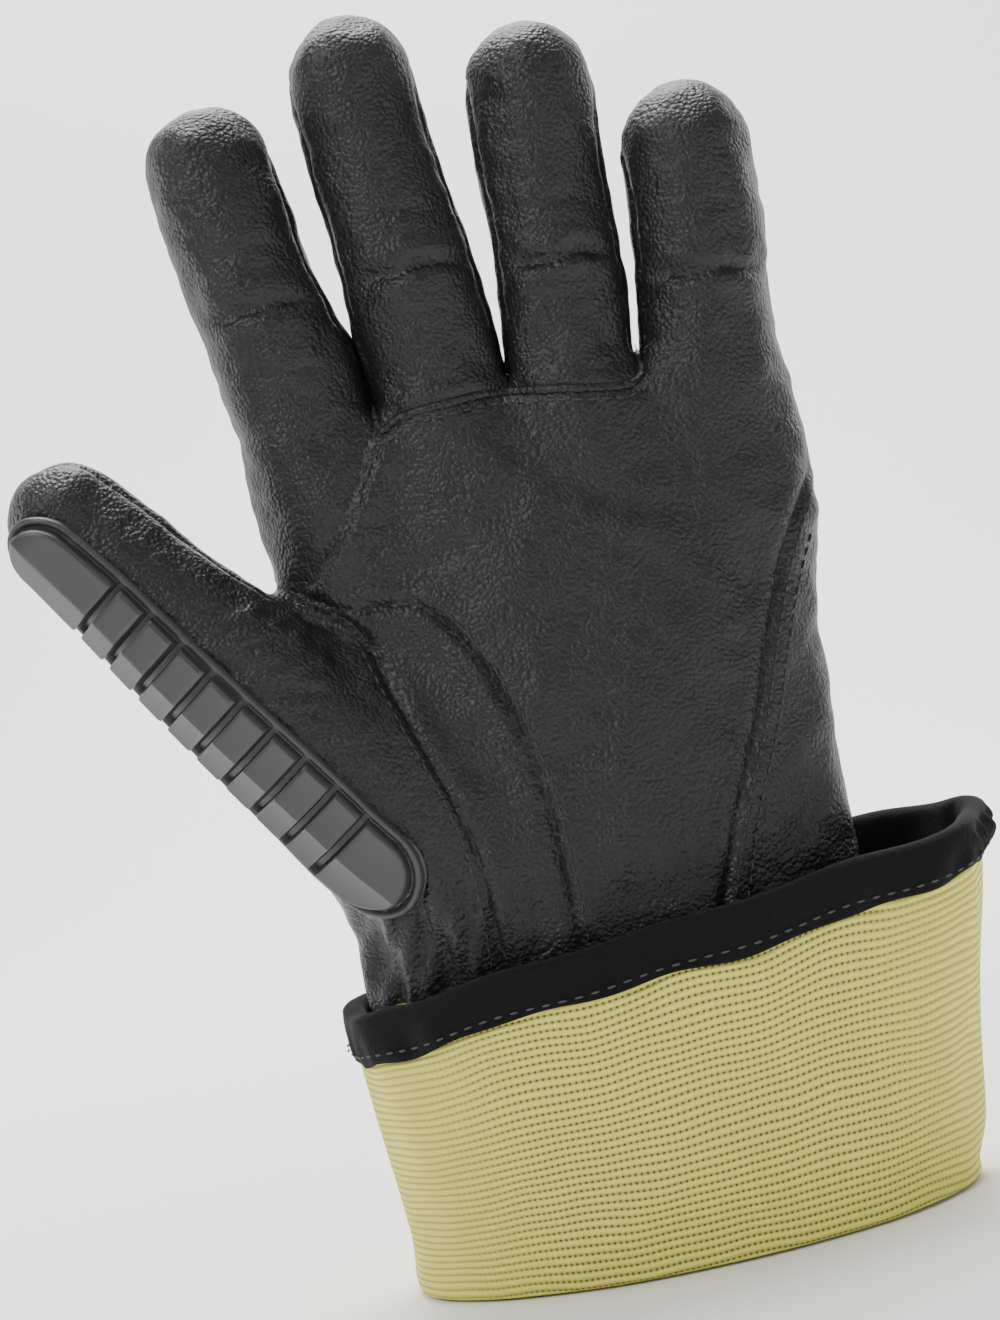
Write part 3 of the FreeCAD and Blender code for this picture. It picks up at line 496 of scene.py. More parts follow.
@functools.lru_cache(maxsize=1)
def panels():
    """Triangles of the skin by panel name."""
    v, f, _, field, _ = skin()
    m = {k: field[k][f].mean(1) for k in field if k != "which"}
    which = field["which"][f].max(1)
    x = v[f][:, :, 0].mean(1)
    names = np.full(len(f), "", object)
    thumb = m["thumb"] < 0
    names[thumb & (m["thumb_back"] < 0)] = "thumb_front"
    names[thumb & (m["thumb_back"] >= 0)] = "thumb_back"
    end = ~thumb & (m["finger"] > 0)
    front, back = m["front"] < 0, m["back"] > 0
    for i, name in enumerate(FINGERS):
        mine = end & (which == i)
        names[mine & front] = name + "_front"
        names[mine & back & ~front] = name + "_back"
        fork = mine & ~front & ~back
        names[fork & (m["across"] < 0)] = name + "_thumb_side_fork"
        names[fork & (m["across"] >= 0)] = name + "_little_side_fork"
    hand = ~thumb & ~end
    names[hand & back & ~front] = "back_panel"
    fork = hand & ~front & ~back
    names[fork & (x < 0)] = "index_middle_fork"
    names[fork & (x >= 0) & (x < 27)] = "middle_ring_fork"
    names[fork & (x >= 27)] = "ring_little_fork"
    palm = hand & front
    names[palm] = "palm_panel"
    names[palm & (m["welt"] < 0)] = "middle_ring_panel"
    names[palm & (m["wedge"] < 0)] = "wrist_wedge"
    names[palm & (m["gusset"] > 0)] = "thumb_gusset"
    return {n: f[names == n] for n in np.unique(names.astype(str))}


def closed_shell(v, f, n, outside, inside, rest=None):
    """Gives a sheet of triangles a thickness: (points, triangles, loop normals, rest points)."""
    used = np.unique(f)
    place = np.full(len(v), -1)
    place[used] = np.arange(len(used))
    g = place[f]
    vv, nn = v[used], n[used]
    rr = (rest if rest is not None else v)[used]
    k = len(used)
    points = np.vstack([vv + nn * outside, vv - nn * inside])
    edges = np.vstack([g[:, [0, 1]], g[:, [1, 2]], g[:, [2, 0]]])
    key = np.sort(edges, 1)
    key = key[:, 0].astype(np.int64) * k + key[:, 1]
    _, back, count = np.unique(key, return_inverse=True, return_counts=True)
    rim = edges[count[back] == 1]
    a, b = rim[:, 0], rim[:, 1]
    faces = np.vstack([g, g[:, ::-1] + k, np.stack([b, a, a + k], 1), np.stack([b, a + k, b + k], 1)])
    normals = np.vstack([nn[g].reshape(-1, 3), -nn[g[:, ::-1]].reshape(-1, 3), np.zeros((len(rim) * 6, 3))])
    return points, faces, normals, np.vstack([rr, rr])


def mesh_object(name, points, faces, material, normals=None, rest=None, uv=None, smooth=True):
    """A mesh object at the origin from points in millimetres."""
    mesh = bpy.data.meshes.new(name)
    if isinstance(faces, np.ndarray):
        mesh.vertices.add(len(points))
        mesh.vertices.foreach_set("co", (np.asarray(points) * MM).astype(np.float32).ravel())
        sides = faces.shape[1]
        mesh.loops.add(faces.size)
        mesh.loops.foreach_set("vertex_index", faces.astype(np.int32).ravel())
        mesh.polygons.add(len(faces))
        mesh.polygons.foreach_set("loop_start", np.arange(0, faces.size, sides, dtype=np.int32))
        mesh.update(calc_edges=True)
    else:
        mesh.from_pydata([tuple(c * MM for c in p) for p in points], [], faces)
    mesh.polygons.foreach_set("use_smooth", np.full(len(mesh.polygons), smooth))
    if rest is not None:
        layer = mesh.attributes.new("rest", "FLOAT_VECTOR", "POINT")
        layer.data.foreach_set("vector", (np.asarray(rest) * MM).astype(np.float32).ravel())
    if uv is not None:
        layer = mesh.uv_layers.new(name="UVMap")
        layer.data.foreach_set("uv", np.asarray(uv, np.float32).ravel())
    if normals is not None:
        mesh.normals_split_custom_set(normals.tolist())
    mesh.materials.append(material)
    mesh.validate()
    obj = bpy.data.objects.new(name, mesh)
    bpy.context.scene.collection.objects.link(obj)
    return obj


# ---- Materials ----

def new_material(name, colour, roughness):
    mat = bpy.data.materials.new(name)
    mat.use_nodes = True
    nodes, links = mat.node_tree.nodes, mat.node_tree.links
    shader = nodes["Principled BSDF"]
    shader.inputs["Base Color"].default_value = (*colour, 1)
    shader.inputs["Roughness"].default_value = roughness
    return mat, nodes, links, shader


def put(nodes, kind, **inputs):
    """A shader node, with its plain inputs set by name and its settings by attribute."""
    node = nodes.new(kind)
    for key, value in inputs.items():
        if key.startswith("_"):
            setattr(node, key[1:], value)
        else:
            node.inputs[key.replace("_", " ")].default_value = value
    return node


def span(nodes, links, value, low, high):
    """Maps 0..1 to low..high."""
    node = put(nodes, "ShaderNodeMapRange", To_Min=low, To_Max=high)
    links.new(value, node.inputs["Value"])
    return node.outputs["Result"]


def leather_material(name, colour, grain, roughness, bump):
    if name in bpy.data.materials:
        return bpy.data.materials[name]
    mat, nodes, links, shader = new_material(name, colour, roughness)
    rest = put(nodes, "ShaderNodeAttribute", _attribute_name="rest")
    warp = put(nodes, "ShaderNodeTexNoise", Scale=0.35 / grain, Detail=2.0)
    links.new(rest.outputs["Vector"], warp.inputs["Vector"])
    shift = put(nodes, "ShaderNodeVectorMath", _operation="MULTIPLY_ADD")
    shift.inputs[1].default_value = (grain * 1.2,) * 3
    links.new(warp.outputs["Color"], shift.inputs[0])
    links.new(rest.outputs["Vector"], shift.inputs[2])
    cells = put(nodes, "ShaderNodeTexVoronoi", Scale=1.0 / grain, _feature="SMOOTH_F1", Smoothness=0.35)
    links.new(shift.outputs["Vector"], cells.inputs["Vector"])
    fine = put(nodes, "ShaderNodeTexNoise", Scale=2.5 / grain, Detail=3.0)
    links.new(rest.outputs["Vector"], fine.inputs["Vector"])
    broad = put(nodes, "ShaderNodeTexNoise", Scale=60.0, Detail=3.0)
    links.new(rest.outputs["Vector"], broad.inputs["Vector"])
    height = put(nodes, "ShaderNodeMath", _operation="MULTIPLY_ADD")
    height.inputs[1].default_value = -1.0
    links.new(cells.outputs["Distance"], height.inputs[0])
    links.new(span(nodes, links, fine.outputs["Fac"], 0.0, 0.35), height.inputs[2])
    pebbles = put(nodes, "ShaderNodeBump", Strength=bump, Distance=grain * 0.33)
    shader.inputs["Specular IOR Level"].default_value = 0.38
    links.new(height.outputs["Value"], pebbles.inputs["Height"])
    links.new(pebbles.outputs["Normal"], shader.inputs["Normal"])
    uneven = span(nodes, links, broad.outputs["Fac"], roughness - 0.07, roughness + 0.07)
    links.new(uneven, shader.inputs["Roughness"])
    mix = put(nodes, "ShaderNodeMix", _data_type="RGBA")
    mix.inputs["A"].default_value = (*[c * 0.75 for c in colour], 1)
    mix.inputs["B"].default_value = (*[c * 1.5 for c in colour], 1)
    links.new(broad.outputs["Fac"], mix.inputs["Factor"])
    links.new(mix.outputs["Result"], shader.inputs["Base Color"])
    return mat


def goatskin():
    return leather_material("glove_goatskin", settings().leather_colour, settings().grain, 0.42, 1.0)


def suede():
    return leather_material("glove_suede", (0.018, 0.018, 0.019), 0.0005, 0.9, 0.4)


def rubber():
    if "glove_rubber" in bpy.data.materials:
        return bpy.data.materials["glove_rubber"]
    mat, nodes, links, shader = new_material("glove_rubber", settings().rubber_colour, 0.42)
    rest = put(nodes, "ShaderNodeAttribute", _attribute_name="rest")
    fine = put(nodes, "ShaderNodeTexNoise", Scale=2600.0, Detail=2.0)
    links.new(rest.outputs["Vector"], fine.inputs["Vector"])
    bump = put(nodes, "ShaderNodeBump", Strength=0.25, Distance=0.00008)
    links.new(fine.outputs["Fac"], bump.inputs["Height"])
    links.new(bump.outputs["Normal"], shader.inputs["Normal"])
    return mat


def knit():
    """Rib knit: fine wavy rows of loops, and rows of small holes; u and v are metres on the cloth."""
    if "glove_knit" in bpy.data.materials:
        return bpy.data.materials["glove_knit"]
    mat, nodes, links, shader = new_material("glove_knit", settings().knit_colour, 0.85)
    uv = put(nodes, "ShaderNodeUVMap", _uv_map="UVMap")
    wobble = put(nodes, "ShaderNodeTexNoise", Scale=45.0, Detail=1.0)
    links.new(uv.outputs["UV"], wobble.inputs["Vector"])
    shift = put(nodes, "ShaderNodeVectorMath", _operation="MULTIPLY_ADD")
    shift.inputs[1].default_value = (0.0, 0.0035, 0.0)
    links.new(wobble.outputs["Color"], shift.inputs[0])
    links.new(uv.outputs["UV"], shift.inputs[2])
    split = put(nodes, "ShaderNodeSeparateXYZ")
    links.new(shift.outputs["Vector"], split.inputs["Vector"])

    def wave(source, pitch):
        angle = put(nodes, "ShaderNodeMath", _operation="MULTIPLY")
        angle.inputs[1].default_value = 2 * math.pi / pitch
        links.new(source, angle.inputs[0])
        sine = put(nodes, "ShaderNodeMath", _operation="SINE")
        links.new(angle.outputs["Value"], sine.inputs[0])
        return span_signed(sine.outputs["Value"])

    def span_signed(value):
        node = put(nodes, "ShaderNodeMapRange", From_Min=-1.0, From_Max=1.0)
        links.new(value, node.inputs["Value"])
        return node.outputs["Result"]

    def calc(operation, *values):
        node = put(nodes, "ShaderNodeMath", _operation=operation)
        for i, value in enumerate(values):
            if isinstance(value, float):
                node.inputs[i].default_value = value
            else:
                links.new(value, node.inputs[i])
        return node.outputs["Value"]

    rows = wave(split.outputs["Y"], 0.0017)
    loops = wave(split.outputs["X"], 0.0012)
    groove = calc("POWER", calc("SUBTRACT", 1.0, rows), 3.0)
    # The cloth is stretched open in the middle of the front, where a hole shows in each groove between loops.
    rest = put(nodes, "ShaderNodeAttribute", _attribute_name="rest")
    place = put(nodes, "ShaderNodeSeparateXYZ")
    links.new(rest.outputs["Vector"], place.inputs["Vector"])
    stretch = put(nodes, "ShaderNodeMapRange", _interpolation_type="SMOOTHSTEP",
                  From_Min=0.062, From_Max=0.030)
    links.new(calc("ABSOLUTE", calc("SUBTRACT", place.outputs["X"], 0.022)), stretch.inputs["Value"])
    holes = calc("MULTIPLY", calc("MULTIPLY", calc("POWER", groove, 1.5), calc("POWER", loops, 2.0)),
                 calc("MULTIPLY_ADD", stretch.outputs["Result"], 0.85, 0.12))
    height = calc("SUBTRACT", calc("MULTIPLY_ADD", loops, 0.25, rows), holes)
    bump = put(nodes, "ShaderNodeBump", Strength=0.8, Distance=0.0004)
    links.new(height, bump.inputs["Height"])
    links.new(bump.outputs["Normal"], shader.inputs["Normal"])
    base = settings().knit_colour
    # The tops of the rows are painted lighter and the grooves between them darker: painted light and painted
    # shade of the rib.
    mix = put(nodes, "ShaderNodeMix", _data_type="RGBA")
    mix.inputs["A"].default_value = (*[min(1.0, c * 1.06) for c in base], 1)
    mix.inputs["B"].default_value = (*[c * 0.62 for c in base], 1)
    links.new(groove, mix.inputs["Factor"])
    # Each hole is painted dark: partly the dark leather behind the knit, partly painted shade inside the
    # hole.
    dark = put(nodes, "ShaderNodeMix", _data_type="RGBA")
    dark.inputs["B"].default_value = (*[c * 0.12 for c in base], 1)
    links.new(mix.outputs["Result"], dark.inputs["A"])
    links.new(calc("MINIMUM", calc("MULTIPLY", holes, 1.3), 1.0), dark.inputs["Factor"])
    links.new(dark.outputs["Result"], shader.inputs["Base Color"])
    return mat


def velvet():
    if "glove_velvet" in bpy.data.materials:
        return bpy.data.materials["glove_velvet"]
    mat, nodes, links, shader = new_material("glove_velvet", settings().binding_colour, 0.95)
    shader.inputs["Specular IOR Level"].default_value = 0.15
    shader.inputs["Sheen Weight"].default_value = 0.04
    shader.inputs["Sheen Roughness"].default_value = 0.5
    rest = put(nodes, "ShaderNodeAttribute", _attribute_name="rest")
    pile = put(nodes, "ShaderNodeTexNoise", Scale=1800.0, Detail=3.0)
    links.new(rest.outputs["Vector"], pile.inputs["Vector"])
    bump = put(nodes, "ShaderNodeBump", Strength=0.9, Distance=0.0003)
    links.new(pile.outputs["Fac"], bump.inputs["Height"])
    links.new(bump.outputs["Normal"], shader.inputs["Normal"])
    return mat


def plain(name, colour, roughness):
    if name in bpy.data.materials:
        return bpy.data.materials[name]
    return new_material(name, colour, roughness)[0]


# ---- Placing pieces ----


def bend_finger(obj, name):
    """Bakes the piece's placement into its mesh; the leather does not bend."""
    root, _, back, axis = finger_frame(name)
    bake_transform(obj)


def bend_thumb(obj):
    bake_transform(obj)


def panel_piece(name, nodes, place):
    """A leather panel of the skin, closed to its thickness."""
    v, _, n, _, smooth = skin()
    points, faces, normals, rest = closed_shell(v, panels()[name], n, 0.0, mm("leather"), smooth)
    obj = mesh_object(name + "_leather", points, faces, goatskin(), normals, rest)
    place(obj)
    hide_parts(*nodes)
    return obj


def on_hand(obj):
    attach(obj, "hand")


# ---- Guards ----

BEAD_HALF = 1.1  # half the width of the round bead at a guard's edge
BLOCK_INSET = 2.9  # from a guard's edge to its blocks
FINGER_PITCH = 27.4
FINGER_GUARD_HALF_WIDE = 8.5
BACK_GUARD_HALF_WIDE = 46.0
KNUCKLE_GUARD = (146, 172)  # lowest and highest z
BACK_GUARD = (96, 140)
BACK_RIB_PITCH = 8.8
THUMB_GUARD_LONG = 114
THUMB_RIB_PITCH = 8.5


def even(half_wide):
    """The same half width all along a guard."""
    return lambda s: half_wide + 0 * s


def march(origin, direction, start=45.0):
    """First point of the smooth hand met from outside, coming in along each direction."""
    reach = np.full(len(origin), start)
    for _ in range(40):
        reach -= hand_distance(origin + direction * reach[:, None]) * 0.9
    return origin + direction * reach[:, None]


def guard_piece(name, surface, s0, s1, half_width, slits, slit_axis, body_nodes, place, top=5.0, step=0.42,
                ends=None, facet=0.034):
    """A moulded guard: bead, groove and blocks, laid on a surface given by (along, across)."""
    edge, half_slit = 0.08, 0.65

    def lines(low, high, cuts):
        base = list(np.arange(low, high, step)) + [high]
        sides = (-half_slit - edge, -half_slit + edge, half_slit - edge, half_slit + edge)
        extra = [c + k for c in cuts for k in sides]
        base = [b for b in base if all(abs(abs(b - c) - half_slit) > 0.2 for c in cuts)]
        return np.array(sorted(base + extra))

    s = lines(s0, s1, slits if slit_axis == "along" else [])
    round_end = ends or half_width(s1)
    e = np.minimum(s - s0, s1 - s)
    wide = half_width(s)
    rounded = np.where(e < round_end, np.sqrt(np.maximum(1 - ((round_end - e) / round_end) ** 2, 0.0)), 1.0)
    if ends:  # a plate with rounded corners instead of a round end
        outline = wide - round_end * (1 - rounded)
    else:
        outline = wide * np.maximum(rounded, 0.02)
    widest = float(np.max(wide))
    q = lines(-widest, widest, slits if slit_axis == "across" else []) / widest
    S, Q = np.meshgrid(s, q, indexing="ij")
    T = Q * outline[:, None]
    E = np.minimum(S - s0, s1 - S)
    W = np.repeat(wide[:, None], len(q), 1)
    corner = round_end if ends else W
    cx, cy = np.maximum(corner - E, 0), np.maximum(np.abs(T) - (W - corner), 0)
    if ends:
        D = np.minimum(corner - np.hypot(cx, cy), W - np.abs(T))
    else:
        D = np.where(E < W, W - np.hypot(cx, T), W - np.abs(T))
    D = np.maximum(D, 0)
    bead = (np.minimum(D, 2 * BEAD_HALF) - BEAD_HALF) / BEAD_HALF
    h = 0.5 + 1.6 * np.sqrt(np.clip(1 - bead ** 2, 0, 1))
    h = np.where((D > BEAD_HALF) & (h < 0.9), 0.9, h)
    inside = D - BLOCK_INSET
    cut_at = S if slit_axis == "along" else T
    gap = np.full_like(D, 9.0)
    if len(slits):
        gap = np.min([np.abs(cut_at - c) for c in slits], axis=0) - half_slit
    e2 = np.minimum(inside, gap)
    if slit_axis == "along" and not ends:  # two flat facets that meet in a ridge
        flat = np.maximum(W - BLOCK_INSET, 1.0)
        roof = top - facet * np.abs(T) * np.maximum(flat - np.abs(T), 0) - 0.07 * np.abs(T)
        roof = roof - 1.0 * (1 - ramp(inside, 0, 1.2))
    else:
        roof = top - 0.8 * (1 - ramp(inside, 0, 3.0))
    roof = roof - 0.35 * (1 - ramp(gap, 0, 1.0))
    floor = np.where(gap <= 0, 0.3, 0.8)
    h = np.where(e2 > 0, floor + (roof - floor) * np.clip(e2 / 0.25, 0, 1), h)
    h = np.where((D > 2 * BEAD_HALF) & (e2 <= 0), floor, h)
    base = surface(S.ravel(), T.ravel())
    n = gradient(base)
    a, b = len(s), len(q)
    upper = base + n * h.ravel()[:, None]
    lower = base - n * 1.0
    i = np.arange(a * b).reshape(a, b)
    quads = np.stack([i[:-1, :-1], i[1:, :-1], i[1:, 1:], i[:-1, 1:]], -1).reshape(-1, 4)
    ring = np.concatenate([i[:-1, 0], i[-1, :-1], i[:0:-1, -1], i[0, :0:-1]])
    after = np.roll(ring, -1)
    k = a * b
    mid = quads[len(quads) // 2]
    normal = np.cross(upper[mid[1]] - upper[mid[0]], upper[mid[3]] - upper[mid[0]])
    if normal @ n[mid[0]] < 0:
        quads, ring, after = quads[:, ::-1], after, ring
    faces = np.vstack([quads, quads[:, ::-1] + k, np.stack([after, ring, ring + k, after + k], 1)])
    points = np.vstack([upper, lower])
    obj = mesh_object(name, points, faces, rubber(), rest=points)
    sharpen(obj, 32)
    place(obj)
    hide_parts(*body_nodes)
    return obj


def sharpen(obj, degrees):
    """Marks the edges where a hard corner should show."""
    obj.data.set_sharp_from_angle(angle=math.radians(degrees))


def thumb_surface(s, t):
    """Along the thumb and round it; the guard turns towards the palm lower down."""
    w = np.minimum(s, THUMB_END)
    radius = THUMB_TABLE(np.clip(w, 0, THUMB_END)) + 3
    angle = math.radians(231) + math.radians(3) * (1 - ramp(s, 10, 90)) + t / radius
    rise = np.maximum(s - THUMB_END, 0) / radius
    out = np.cos(angle)[:, None] * THUMB_U + np.sin(angle)[:, None] * THUMB_V
    out = out * np.cos(rise)[:, None] + THUMB_W * np.sin(rise)[:, None]
    return march(THUMB_A + THUMB_W * w[:, None], out)


def finger_surface(name):
    across, radius, end = FINGER_TABLES[name]

    def surface(s, t):
        z = np.minimum(s, end)
        r = radius(z)
        angle = math.pi / 2 - t / r
        rise = np.maximum(s - end, 0) / r
        out = np.stack([np.cos(angle) * np.cos(rise), np.sin(angle) * np.cos(rise), np.sin(rise)], 1)
        return march(np.stack([across(z), finger_middle_y(z), z], 1), out, 30.0)

    return surface


def back_surface(s, t):
    origin = np.stack([14.0 + t, np.zeros(len(s)), s], 1)
    return march(origin, np.tile([0.0, 1.0, 0.0], (len(s), 1)), 45.0)


# ---- Cuff ----

RIM = (69.3, 0.075, 0.07)
FOOT = (16.2, 60.8, 33.0)
FLARE = (0.083, 0.133, 0.033)
AROUND = 420


def cuff_wave(angle, z):
    """Soft folds of the cuff, as a distance outwards."""
    x = np.cos(angle)
    out = 0.9 * np.sin(3 * angle + 0.03 * z + 0.6) + 0.55 * np.sin(7 * angle - 0.05 * z + 1.9)
    out += 0.35 * np.sin(13 * angle + 0.11 * z) + 0.9 * ramp(z, 30, 75) * np.sin(9 * angle + 0.7)
    out += 0.5 * ramp(x, 0.85, 1.0) * np.sin(0.12 * z + 1.0)
    return out * ramp(z, 0, 12)


def cuff_point(angle, z, inward):
    """A point of the folded wall, at a height and a distance in from its outside."""
    middle, wide, deep = (FOOT[0] + FLARE[0] * z, FOOT[1] + FLARE[1] * z, FOOT[2] + FLARE[2] * z)
    off = cuff_wave(angle, z) - inward
    c, s = np.cos(angle), np.sin(angle)
    nx, ny = c / wide, s / deep
    length = np.hypot(nx, ny)
    return np.stack([middle + wide * c + off * nx / length, deep * s + off * ny / length, z], -1)


def rim_height(angle):
    """The rim's own line: tilted, lower on the thumb side and slightly wavy."""
    z = np.full_like(angle, RIM[0])
    for _ in range(3):
        p = cuff_point(angle, z, 0.0)
        z = RIM[0] + RIM[1] * p[..., 0] + RIM[2] * p[..., 1]
    c = np.cos(angle)
    return z - 5.0 * ramp(-c, 0.3, 1.0) + 0.5 * np.sin(5 * angle + 1) + 0.35 * np.sin(11 * angle)


def tube_point(angle, z, outward):
    """A point of the wrist's tube inside the fold, out from its hollow."""
    z = z + 0 * angle
    t = z / 60.0
    middle, wide, deep = 16.2 - 4.2 * t, 47.8 + 3.4 * t, 20.0 + 1.2 * t
    c, s = np.cos(angle), np.sin(angle)
    nx, ny = c / wide, s / deep
    length = np.hypot(nx, ny)
    return np.stack([middle + wide * c + outward * nx / length, deep * s + outward * ny / length, z], -1)


def sweep(name, rings, material, smooth=True):
    """Closes a list of rings, each (AROUND, 3), into a tube-like band that meets itself."""
    rings = np.array(rings)
    m, n = rings.shape[:2]
    i = np.arange(m * n).reshape(m, n)
    j, k = np.roll(i, -1, axis=0), np.roll(i, -1, axis=1)
    both = np.roll(j, -1, axis=1)
    faces = np.stack([i, k, both, j], -1).reshape(-1, 4)
    step = np.linalg.norm(rings - np.roll(rings, 1, axis=1), axis=2).mean(0)
    around = np.concatenate([[0], np.cumsum(step)])
    climb = np.linalg.norm(rings - np.roll(rings, 1, axis=0), axis=2).mean(1)
    climb[0] = 0
    up = np.concatenate([np.cumsum(climb), [climb.sum() + 2]])
    u0, u1 = np.tile(around[:-1], (m, 1)), np.tile(around[1:], (m, 1))
    v0, v1 = np.repeat(up[:-1, None], n, 1), np.repeat(up[1:, None], n, 1)
    uv = np.stack([np.stack(corner, -1) for corner in ((u0, v0), (u1, v0), (u1, v1), (u0, v1))], 2)
    uv = uv.reshape(-1, 4, 2)
    points = rings.reshape(-1, 3)
    a = points[faces]
    volume = np.einsum("ij,ij->i", a[:, 0], np.cross(a[:, 1], a[:, 2]) + np.cross(a[:, 2], a[:, 3])).sum()
    if volume < 0:
        faces, uv = faces[:, ::-1], uv[:, ::-1]
    obj = mesh_object(name, points, faces, material, rest=points, uv=uv.reshape(-1, 2) * MM, smooth=smooth)
    return obj


def u_section(angle, near, far):
    """Rings of a layer of the cuff, from its near to its far face, measured from the knit's own face."""
    rim = rim_height(angle)
    rings = []
    levels = np.linspace(0, 1, 46)

    def side(depth, order):
        foot = depth + 4.0
        out = []
        for t in np.linspace(0, 1, 12):  # down the tube
            out.append(tube_point(angle, 62 - (62 - foot) * t, depth))
        low = np.full_like(angle, foot)
        inner, outer = tube_point(angle, low, depth), cuff_point(angle, low, depth)
        for t in np.linspace(0, 1, 11)[1:-1]:  # across the fold
            turn = math.pi * t
            squared = math.copysign(abs(math.cos(turn)) ** 0.35, math.cos(turn))
            mid = (inner + outer) / 2 + (inner - outer) / 2 * squared
            mid[:, 2] = foot - 4.0 * abs(math.sin(turn)) ** 0.35
            out.append(mid)
        for t in levels:  # up the folded wall
            out.append(cuff_point(angle, foot + (rim - foot) * t, depth))
        return out if order > 0 else out[::-1]

    rings += side(near, 1)
    rings += side(far, -1)
    return rings


def binding_section(angle):
    """Rings of the binding: over the rim, with both edges turned under."""
    rim = rim_height(angle)
    high = 9.0 + 0.5 * np.sin(4 * angle) + 0.3 * np.sin(17 * angle)
    puff = 0.45 * np.sin(31 * angle) * np.sin(5 * angle + 1) + 0.35 * np.sin(19 * angle + 2)
    crumple = ramp(np.cos(angle), 0.86, 1.0)
    rings = []

    def at(z, inward):
        return cuff_point(angle, z, inward)

    for t in np.linspace(0, 1, 14):
        bulge = 1.15 + 0.5 * math.sin(math.pi * t) + (0.5 + 0.4 * math.sin(5 * t)) * puff
        bulge = bulge + crumple * 1.8 * np.sin(9 * t + 40 * angle) * math.sin(math.pi * t)
        rings.append(at(rim - high + (high + 0.2) * t, -bulge))
    for t in np.linspace(0, 1, 8)[1:-1]:
        turn = math.pi * t
        rings.append(at(rim + 1.5 * math.sin(turn), -1.2 * math.cos(turn) + 1.3 * (1 - math.cos(turn))))
    for t in np.linspace(1, 0, 8):
        rings.append(at(rim - high + high * t, 3.9 + 0.3 * puff))
    for t in np.linspace(0, 1, 8):
        rings.append(at(rim - high + (high - 0.8) * t, 2.75))
    for t in np.linspace(1, 0, 8):
        rings.append(at(rim - high + (high - 0.8) * t, -0.12))
    return rings


# ---- Stitching ----

def stitch_tree():
    """Geometry nodes: a rounded stitch on every point, turned along the seam and out of the leather."""
    tree = bpy.data.node_groups.new("stitches", "GeometryNodeTree")
    tree.interface.new_socket("Geometry", in_out="INPUT", socket_type="NodeSocketGeometry")
    for name, kind in (("Length", "Float"), ("Thickness", "Float"), ("Thread", "Material")):
        tree.interface.new_socket(name, in_out="INPUT", socket_type="NodeSocket" + kind)
    tree.interface.new_socket("Geometry", in_out="OUTPUT", socket_type="NodeSocketGeometry")
    nodes, links = tree.nodes, tree.links
    given, result = nodes.new("NodeGroupInput"), nodes.new("NodeGroupOutput")
    ball = nodes.new("GeometryNodeMeshUVSphere")
    ball.inputs["Segments"].default_value, ball.inputs["Rings"].default_value = 8, 7
    ball.inputs["Radius"].default_value = 0.5
    size = nodes.new("ShaderNodeCombineXYZ")
    links.new(given.outputs["Length"], size.inputs["X"])
    links.new(given.outputs["Thickness"], size.inputs["Y"])
    links.new(given.outputs["Thickness"], size.inputs["Z"])
    shape = nodes.new("GeometryNodeTransform")
    links.new(ball.outputs["Mesh"], shape.inputs["Geometry"])
    links.new(size.outputs["Vector"], shape.inputs["Scale"])

    def attribute(name):
        node = nodes.new("GeometryNodeInputNamedAttribute")
        node.data_type = "FLOAT_VECTOR"
        node.inputs["Name"].default_value = name
        return node.outputs["Attribute"]

    turn = nodes.new("FunctionNodeAxesToRotation")
    turn.primary_axis, turn.secondary_axis = "X", "Z"
    links.new(attribute("along"), turn.inputs["Primary Axis"])
    links.new(attribute("out"), turn.inputs["Secondary Axis"])
    spread = nodes.new("GeometryNodeInstanceOnPoints")
    links.new(given.outputs["Geometry"], spread.inputs["Points"])
    links.new(shape.outputs["Geometry"], spread.inputs["Instance"])
    links.new(turn.outputs["Rotation"], spread.inputs["Rotation"])
    real = nodes.new("GeometryNodeRealizeInstances")
    links.new(spread.outputs["Instances"], real.inputs["Geometry"])
    paint = nodes.new("GeometryNodeSetMaterial")
    links.new(real.outputs["Geometry"], paint.inputs["Geometry"])
    links.new(given.outputs["Thread"], paint.inputs["Material"])
    links.new(paint.outputs["Geometry"], result.inputs["Geometry"])
    return tree


def stitches(name, rows, material, length=None, thickness=None):
    """A stitch on every point of each row; a row is (points, normals) in millimetres, evenly spaced."""
    places, along, out = [], [], []
    for p, n in rows:
        t = np.gradient(p, axis=0)
        places.append(p)
        along.append(t / np.linalg.norm(t, axis=1, keepdims=True))
        out.append(n)
    places, along, out = np.vstack(places), np.vstack(along), np.vstack(out)
    mesh = bpy.data.meshes.new(name)
    mesh.from_pydata((places * MM).tolist(), [], [])
    for key, value in (("along", along), ("out", out)):
        layer = mesh.attributes.new(key, "FLOAT_VECTOR", "POINT")
        layer.data.foreach_set("vector", value.astype(np.float32).ravel())
    obj = bpy.data.objects.new(name, mesh)
    bpy.context.scene.collection.objects.link(obj)
    tree = bpy.data.node_groups.get("stitches") or stitch_tree()
    modifier = obj.modifiers.new("Stitches", "NODES")
    modifier.node_group = tree
    ids = {item.name: item.identifier for item in tree.interface.items_tree if item.in_out == "INPUT"}
    modifier[ids["Length"]] = length or settings().stitch
    modifier[ids["Thickness"]] = thickness or settings().thread
    modifier[ids["Thread"]] = material
    graph = bpy.context.evaluated_depsgraph_get()
    baked = bpy.data.meshes.new_from_object(obj.evaluated_get(graph))
    obj.modifiers.clear()
    obj.data = baked
    baked.polygons.foreach_set("use_smooth", np.full(len(baked.polygons), True))
    return obj


